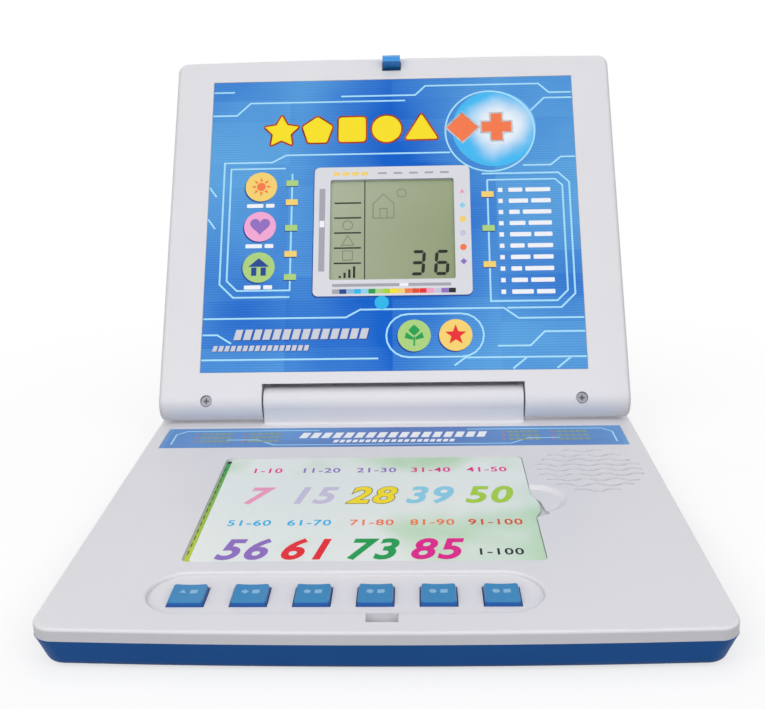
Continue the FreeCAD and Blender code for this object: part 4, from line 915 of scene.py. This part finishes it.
def window_frame(left, low, right, high):
    """The space between an outer rounded loop and the screen's window."""
    bm = bmesh.new()
    soften(bm, bar(bm, left, low, right, high), 3)
    soften(bm, bar(bm, -window_half, window_low, window_half, window_high), 1.2)
    bmesh.ops.delete(bm, geom=bm.faces[:], context="FACES_ONLY")
    bmesh.ops.triangle_fill(bm, use_beauty=True, use_dissolve=False, edges=bm.edges[:])
    return bm


shape = window_frame(-frame_half - 0.5, frame_low - 0.8, frame_half, frame_high)
print_on_lid("screen_frame_shadow", shape, "deep_blue", 0)
shape = window_frame(-frame_half, frame_low, frame_half, frame_high)
print_on_lid("screen_frame", shape, "frame_grey", 1)
print("screen frame", 2 * frame_half, "by", round(frame_high - frame_low, 1), "mm")

# %% Sliders, colour samples and small marks on the frame
shape = bmesh.new()
bar(shape, -42, 73, -38.6, 124)
bar(shape, -34, 63.6, 33, 65.4)
print_on_lid("screen_sliders", shape, "mid_grey", 2)
shape = bmesh.new()
bar(shape, -41.7, 100, -38.9, 104)
bar(shape, 4, 63.6, 9, 65.4)
print_on_lid("slider_knobs", shape, "white", 3)
SAMPLE_INKS = (
    "mid_grey", "deep_blue", "key_print", "dot_cyan", "sky", "green", "leaf", "lime", "yellow",
    "gold", "orange", "red", "crimson", "rose", "lilac", "purple", "black",
)
for number, ink in enumerate(SAMPLE_INKS):
    shape = bmesh.new()
    x = -34 + 4.1 * number
    bar(shape, x, 59.4, x + 4, 62.2)
    print_on_lid(f"colour_sample_{number + 1}", shape, ink, 2)
shape = bmesh.new()
block_row(shape, 5, -8, 9, 5, 132.8, 134, slant=0)
print_on_lid("frame_marks", shape, "mid_grey", 2)
shape = bmesh.new()
block_row(shape, 4, -34, 5.4, 4, 132.2, 134.4, slant=0)
print_on_lid("frame_tabs", shape, "gold", 2)
PICTURES = (("rose", 3), ("sky", 4), ("gold", 24), ("lilac", 6), ("orange", 24), ("purple", 4))
for number, (ink, sides) in enumerate(PICTURES):
    shape = bmesh.new()
    disc(shape, 40.4, 121 - 8.6 * number, 1.9, sides)
    print_on_lid(f"frame_picture_{number + 1}", shape, ink, 2)

# %% [markdown]
# ## What the screen shows
# A segment screen turns whole drawn shapes dark. Its number is made of seven bars per figure, each
# a long hexagon, and its other shapes are bars and thin outlines that stay faint. They lie on the
# glass, below the frame, so the window's edge still shades them.

# %% Seven-segment figures
SEGMENTS = {"3": "abgcd", "6": "acdefg"}
SEGMENT_GAP = 0.25
SEGMENT_LEAN = 0.08


def segment_figure(bm, figure, left, low, wide, high, thick):
    """One figure: hexagon bars a to g, leaning slightly to the right."""
    half = high / 2
    bars = {
        "a": ((0, high), (wide, high)),
        "b": ((wide, high), (wide, half)),
        "c": ((wide, half), (wide, 0)),
        "d": ((0, 0), (wide, 0)),
        "e": ((0, half), (0, 0)),
        "f": ((0, high), (0, half)),
        "g": ((0, half), (wide, half)),
    }
    for letter in SEGMENTS[figure]:
        first, last = (Vector(end) for end in bars[letter])
        along = (last - first).normalized()
        side = Vector((-along.y, along.x)) * thick / 2
        first, last = first + along * SEGMENT_GAP, last - along * SEGMENT_GAP
        inner = along * thick / 2
        ends = (first, first + inner + side, last - inner + side)
        again = (last, last - inner - side, first + inner - side)
        polygon(bm, [(left + p.x + SEGMENT_LEAN * p.y, low + p.y) for p in ends + again])


FIGURE_LOW, FIGURE_WIDE, FIGURE_HIGH, FIGURE_THICK = 71.5, 6.6, 13.4, 1.9

shape = bmesh.new()
for figure, left in (("3", 10.6), ("6", 24.4)):
    segment_figure(shape, figure, left, FIGURE_LOW, FIGURE_WIDE, FIGURE_HIGH, FIGURE_THICK)
for step in range(4):
    x = -30.5 + 2.7 * step
    bar(shape, x, 69.6, x + 1.3, 70.9 + 1.9 * step)
for row in range(5):
    y = 115.7 - 9.3 * row
    bar(shape, -33.4, y - 0.45, -17.9, y + 0.45)
bar(shape, -16.1, window_low - 0.4, -15.5, window_high + 0.4)
lay_shapes("screen_segments", shape, inks["segment"], "lid", glass_place, 0)

# %% Faint outlines on the screen
shape = bmesh.new()
line(shape, [(-11, 106), (-11, 115), (-5, 121), (1, 115), (1, 106)], closed=True)
line(shape, [(-7, 106), (-7, 112), (-3, 112), (-3, 106)])
ring(shape, 5.5, 121.5, 2.6, 24)
ring(shape, -25.6, 101.8, 2.8, 24)
line(shape, [(-29, 89.5), (-22, 89.5), (-25.5, 95.5)], closed=True)
line(shape, [(-28.4, 80.4), (-22.8, 80.4), (-22.8, 86), (-28.4, 86)], closed=True)
lay_lines("screen_outlines", shape, 0.45, inks["segment_faint"], "lid", glass_place, 0)
print("screen shows", "".join(SEGMENTS))

# %% [markdown]
# ## The strip on the base
# The long strip behind the card repeats the lid sheet's blue. It carries light lines, white slanted
# blocks in its middle, and short coloured dashes at its ends.

# %% Strip lines, blocks and dashes
strip_low, strip_high = (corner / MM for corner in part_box("base_label"))
strip_y = (strip_low.y + strip_high.y) / 2
shape = bmesh.new()
for side in (-1, 1):
    for route in (
        ((40, 10), (112, 10), (117, 5), (117, -9)),
        ((54, -10.5), (62, -10.5), (72, -3), (88, -3)),
    ):
        line(shape, [(side * x, strip_y + y) for x, y in route])
line(shape, [(-54, strip_y - 10.5), (54, strip_y - 10.5)])
lay_lines("strip_lines", shape, 0.9, inks["line_cyan"], "base", strip_place, 0)
shape = bmesh.new()
block_row(shape, 17, -49, 5.9, 4.2, strip_y - 1.2, strip_y + 6.4)
block_row(shape, 19, -31, 3.4, 2.4, strip_y - 7.6, strip_y - 4)
lay_shapes("strip_blocks", shape, inks["white"], "base", strip_place, 1)
dots, dashes = bmesh.new(), bmesh.new()
for left in (-106, -80, 58, 84):
    for row in range(3):
        y = strip_y + 5.4 - 5.2 * row
        bar(dots, left, y - 0.9, left + 1.8, y + 0.9)
        block_row(dashes, 5, left + 3.4, 3.4, 2.7, y - 1.2, y + 1.2, slant=0)
lay_shapes("strip_dots", dots, inks["dull_rose"], "base", strip_place, 1)
lay_shapes("strip_dashes", dashes, inks["dull_green"], "base", strip_place, 1)
print("strip is", round(strip_high.x - strip_low.x, 1), "mm long")

# %% [markdown]
# ## Edge of the film
# Left of the card a narrow edge of the film shows. A black corner and a thin row of black dashes
# are laid on it, as bars along it.

# %% Film marks
DASHES, DASH_PITCH, DASH_LONG, FIRST_DASH = 14, 6.6, 3.4, 9

film_left, film_back = film_low.x / MM, film_high.y / MM
shape = bmesh.new()
bar(shape, film_left + 0.3, film_back - 3.2, film_left + 2.4, film_back - 0.3, corner=0.8)
for dash in range(DASHES):
    y = film_back - FIRST_DASH - DASH_PITCH * dash
    bar(shape, film_left + 0.4, y - DASH_LONG, film_left + 0.8, y)
lay_shapes("film_marks", shape, inks["black"], "base", level(film_high.z), 0)
print("film edge marked")

# %% [markdown]
# ## Painted shade in the grille grooves
# The wavy grooves of the grille show a soft grey line of shade along each one, so a grey line of
# painted shade is laid on each groove's floor. The lines follow the same arcs as the grooves: bends
# of half a wave each, in rows that shorten towards the edge of an oval. The speaker's own box gives
# the middle.

# %% Grille lines of painted shade
WAVE_ROWS, WAVE_PITCH, WAVE_LENGTH, WAVE_CREST = 9, 5.9, 14.5, 1.2
GRILLE_WIDE, GRILLE_DEEP, GROOVE_DEPTH, DECK_WALL = 50, 54, 0.5, 2
BEND_STEPS = 8
GROOVE_SHADE_MM = 1.3

speaker_low, speaker_high = (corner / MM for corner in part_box("speaker_basket"))
grille = (speaker_low + speaker_high) / 2
half_wave = WAVE_LENGTH / 2
bend = (half_wave**2 / 4 + WAVE_CREST**2) / (2 * WAVE_CREST)
shape = bmesh.new()
for row in range(WAVE_ROWS):
    step = (row - (WAVE_ROWS - 1) / 2) * WAVE_PITCH
    reach = GRILLE_WIDE / 2 * math.sqrt(1 - (2 * step / GRILLE_DEEP) ** 2)
    bends = max(2, round(2 * reach / half_wave))
    corners = []
    for spot in range(BEND_STEPS * bends + 1):
        along = spot / BEND_STEPS
        number = min(int(along), bends - 1)
        aside = (along - number - 0.5) * half_wave
        crest = math.sqrt(bend**2 - aside**2) - (bend - WAVE_CREST)
        x = grille.x + half_wave * (along - bends / 2)
        corners.append((x, grille.y + step + (-1) ** number * crest))
    line(shape, corners)
groove_floor = speaker_high.z + DECK_WALL - GROOVE_DEPTH
groove_place = level(groove_floor * MM)
# Painted shade: a grey line on each groove floor stands for the shade inside the groove.
lay_lines("grille_painted_shade", shape, GROOVE_SHADE_MM, inks["groove_shade_grey"], "base", groove_place, 0)
print("groove_shade at", round(groove_floor, 2), "mm")

# %% [markdown]
# ## Numbers on the card
# The card teaches counting: ten number ranges, with a large sample number under each. Blender's own
# font gives the figures. A font object is turned into a mesh before it is moved, merged, and then
# printed as any other shape. Its faces are set flat, so that the film's top edge stays sharp.

# %% Figures from the built-in font
FIGURE_SHARE = 0.72
LETTER_SPACE = 1.12


def figures(bm, text, x, y, high, bold=0.12, lean=0.0, squeeze=1.0):
    """Adds a number, centred on a place, as flat faces."""
    curve = bpy.data.curves.new("figures", "FONT")
    curve.body = text
    curve.size = high * MM / FIGURE_SHARE
    curve.align_x = "CENTER"
    curve.align_y = "CENTER"
    curve.offset = bold * MM
    curve.space_character = LETTER_SPACE
    curve.shear = lean
    curve.resolution_u = 4
    holder = bpy.data.objects.new("figures", curve)
    bpy.context.scene.collection.objects.link(holder)
    graph = bpy.context.evaluated_depsgraph_get()
    mesh = bpy.data.meshes.new_from_object(holder.evaluated_get(graph))
    bpy.data.objects.remove(holder)
    bpy.data.curves.remove(curve)
    spot = Matrix.Translation((x * MM, y * MM, 0))
    mesh.transform(spot @ Matrix.Diagonal((squeeze, 1, 1, 1)))
    bm.from_mesh(mesh)
    bpy.data.meshes.remove(mesh)
    bmesh.ops.remove_doubles(bm, verts=bm.verts[:], dist=0.001 * MM)
    for face in bm.faces:
        face.smooth = False


# %% Ranges and sample numbers
COLUMNS = (-61, -34.5, -7, 19.5, 47)
RANGE_Y, RANGE_HIGH = (31, -26), 5.5
SAMPLE_Y, SAMPLE_SHIFT = (1.5, -51), (-2, 0.5)
SAMPLE_BOLD, OUTLINE_BOLD = 0.7, 1.1
RANGE_INKS = (
    "magenta", "purple", "purple", "magenta", "magenta",
    "dot_cyan", "dot_cyan", "orange", "orange", "red",
)
card_samples = (
    ("7", "rose"), ("15", "lilac"), ("28", "yellow"), ("39", "sky"), ("50", "lime"),
    ("56", "purple"), ("61", "crimson"), ("73", "green"), ("85", "magenta"),
)


def sample_number(name, text, x, y, bold, ink, layer):
    """One large leaning number on the card."""
    shape = bmesh.new()
    figures(shape, text, x, y, 17.5, bold, lean=0.25, squeeze=0.82)
    lay_shapes(name, shape, inks[ink], "card", card_place, layer)


for number, ink in enumerate(RANGE_INKS):
    row, column = divmod(number, len(COLUMNS))
    shape = bmesh.new()
    first = 10 * number + 1
    figures(shape, f"{first}-{first + 9}", COLUMNS[column], RANGE_Y[row], RANGE_HIGH)
    lay_shapes(f"card_range_{number + 1}", shape, inks[ink], "card", card_place, 0)
for number, (text, ink) in enumerate(card_samples):
    row, column = divmod(number, len(COLUMNS))
    x, y = COLUMNS[column] + SAMPLE_SHIFT[row], SAMPLE_Y[row]
    if ink == "yellow":
        sample_number("card_number_outline", text, x, y, OUTLINE_BOLD, "black", 0)
    sample_number(f"card_number_{number + 1}", text, x, y, SAMPLE_BOLD, ink, 1)
shape = bmesh.new()
figures(shape, "1-100", COLUMNS[4], -53, RANGE_HIGH)
lay_shapes("card_number_all", shape, inks["black"], "card", card_place, 0)
print("card numbers:", [text for text, _ in card_samples])

# %% [markdown]
# ## Marks on the keys
# Each key has a small pale mark printed in its dished top. The flat mark is lowered onto the dish,
# which is part of a cylinder, by moving each corner down a parabola close to its arc.

# %% Key marks
KEY_DISH = 0.45 * MM
DISH_REACH = 6.4 * MM
MARK_BACK = 1.2

for number in range(1, 7):
    low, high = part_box(f"key_{number}")
    centre = (low + high) / 2
    x, y = centre.x / MM, centre.y / MM + MARK_BACK
    shape = bmesh.new()
    disc(shape, x - 2.2, y, 1.5, 2 + number)
    bar(shape, x + 0.6, y - 1.3, x + 3.4, y + 1.3, corner=0.4)
    piece = lay_shapes(
        f"key_{number}_mark", shape, inks["key_print"], f"button_{number}", level(high.z), 0
    )
    for corner in piece.data.vertices:
        corner.co.z -= KEY_DISH * (1 - ((corner.co.x - centre.x) / DISH_REACH) ** 2)
print("6 keys marked")

# %% [markdown]
# ## Cross recesses in the screws
# The screw heads are plain discs in the imported model. A cross recess is cold-headed into the real
# ones, so a dark cross of painted shade, standing for the shade in that recess, is laid on each head
# that can be seen.

# %% Crosses on the lid screws, and on the screws below
HEAD_RADIUS = 2.9
LID_SCREW_UP = -1.6


def cross(bm, x, y):
    """The mark of a cross-head recess, to be filled with painted shade."""
    plus_sign(bm, x, y, 1.5, 0.4)


# The crosses are painted shade: dark where the recess would lie in shade.
shape = bmesh.new()
for side in (-1, 1):
    cross(shape, side * (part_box("lid_screws")[1].x / MM - HEAD_RADIUS), LID_SCREW_UP)
head_place = lid_place @ level(lid_height("lid_screws"))
lay_shapes("lid_screw_crosses", shape, inks["recess_shade_dark"], "lid", head_place, 0)

underside = Matrix.Rotation(math.pi, 4, "X")
low, high = (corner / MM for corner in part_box("base_screws"))
shape = bmesh.new()
for x in (low.x + HEAD_RADIUS, high.x - HEAD_RADIUS):
    for y in (low.y + HEAD_RADIUS, high.y - HEAD_RADIUS):
        cross(shape, x, -y)
lay_shapes("base_screw_crosses", shape, inks["recess_shade_dark"], "base", level(low.z * MM) @ underside, 0)
low, high = (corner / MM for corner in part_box("battery_cover_screw"))
shape = bmesh.new()
cross(shape, (low.x + high.x) / 2, -(low.y + high.y) / 2)
lay_shapes("cover_screw_cross", shape, inks["recess_shade_dark"], "base", level(low.z * MM) @ underside, -1)
print("crosses on 7 screws")

# %% [markdown]
# ## Floor, light and camera
# The picture is taken in a small product studio: a plain pale floor, a white surround and soft
# lamps. The floor is white to the eye but returns little light to the object, as a floor that falls
# away into shade does, so the front walls stay darker than the tops. Far from the object the floor
# glows like the surround, so that no horizon shows; close by it keeps the object's shadow.

# %% Floor
FLOOR_SIZE = 8
FADE_START, FADE_END = 0.1, 0.5
GLOW_NEAR = 0.65


def seen_rays(tree):
    """1 for rays from the eye, a mirror or a lens; 0 for rays that only carry soft light."""
    rays = add_node(tree, "ShaderNodeLightPath")
    seen = rays.outputs["Is Camera Ray"]
    for kind in ("Is Glossy Ray", "Is Transmission Ray"):
        both = {0: seen, 1: rays.outputs[kind]}
        seen = add_node(tree, "ShaderNodeMath", both, operation="MAXIMUM").outputs[0]
    return seen


floor_finish, tree, shader, place = new_finish("pale_studio_floor")
seen = seen_rays(tree)
tint = two_colours(tree, seen, "#3E3E42", "#F8F8FA")
fill(tree, shader, {"Base Color": tint, "Roughness": 0.9, "Specular IOR Level": 0.1})
away = add_node(tree, "ShaderNodeVectorMath", {0: place}, operation="LENGTH")
fade = remap(tree, away.outputs["Value"], FADE_START, FADE_END, GLOW_NEAR, 1, "SMOOTHSTEP")
white = add_node(tree, "ShaderNodeMath", {0: seen, 1: fade}, operation="MULTIPLY")
surround = add_node(tree, "ShaderNodeEmission", {"Color": (1, 1, 1, 1), "Strength": 1})
blend = add_node(
    tree, "ShaderNodeMixShader", {0: white.outputs[0], 1: shader.outputs[0], 2: surround.outputs[0]}
)
tree.links.new(blend.outputs[0], tree.nodes["Material Output"].inputs["Surface"])

shape = bmesh.new()
bmesh.ops.create_grid(shape, x_segments=1, y_segments=1, size=FLOOR_SIZE / 2)
floor = new_object("studio_floor", shape, floor_finish)
print("floor of", FLOOR_SIZE, "m")

# %% World and lamps
SURROUND_LIGHT = 0.31

world = bpy.data.worlds.new("studio_surround")
bpy.context.scene.world = world
world.use_nodes = True
tree = world.node_tree
strength = remap(tree, seen_rays(tree), 0, 1, SURROUND_LIGHT, 1)
fill(tree, tree.nodes["Background"], {"Color": (1, 1, 1, 1), "Strength": strength})


def soft_lamp(name, spot, aim, width, height, power):
    """A large rectangular lamp that faces a point."""
    lamp = bpy.data.lights.new(name, "AREA")
    lamp.shape = "RECTANGLE"
    lamp.size = width
    lamp.size_y = height
    lamp.energy = power
    holder = bpy.data.objects.new(name, lamp)
    holder.location = spot
    holder.rotation_euler = (Vector(aim) - Vector(spot)).to_track_quat("-Z", "Y").to_euler()
    bpy.context.scene.collection.objects.link(holder)


middle = (0, 0, 0.08)
soft_lamp("overhead_softbox", (0, -0.1, 1.5), middle, 1.2, 1.2, 4.8)
soft_lamp("left_softbox", (-0.62, -0.8, 0.76), middle, 0.9, 0.9, 6.8)
soft_lamp("back_softbox", (0, 1.2, 0.26), middle, 0.2, 0.4, 8)
soft_lamp("right_softbox", (0.62, -0.8, 0.76), middle, 0.9, 0.9, 6.0)

# %% Camera
PHOTO_WIDTH = 765
FOCAL_PX = 1010.73
SENSOR = 36
EYE_FROM_HINGE = Vector((14.6, -528.2, 188.3)) * MM
YAW, PITCH, ROLL = (math.radians(angle) for angle in (-2.17, 17.0, -1.29))

camera = bpy.data.cameras.new("photo_camera")
camera.sensor_width = SENSOR
camera.sensor_fit = "HORIZONTAL"
camera.lens = FOCAL_PX / PHOTO_WIDTH * SENSOR
viewer = bpy.data.objects.new("photo_camera", camera)
aim = Matrix.Rotation(-YAW, 4, "Z") @ Matrix.Rotation(math.pi / 2 - PITCH, 4, "X")
aim = aim @ Matrix.Rotation(ROLL, 4, "Z")
viewer.matrix_world = Matrix.Translation(hinge_point + EYE_FROM_HINGE) @ aim
bpy.context.scene.collection.objects.link(viewer)
bpy.context.scene.camera = viewer
bpy.context.scene.view_settings.view_transform = "Standard"
print("lens", round(camera.lens, 2), "mm")
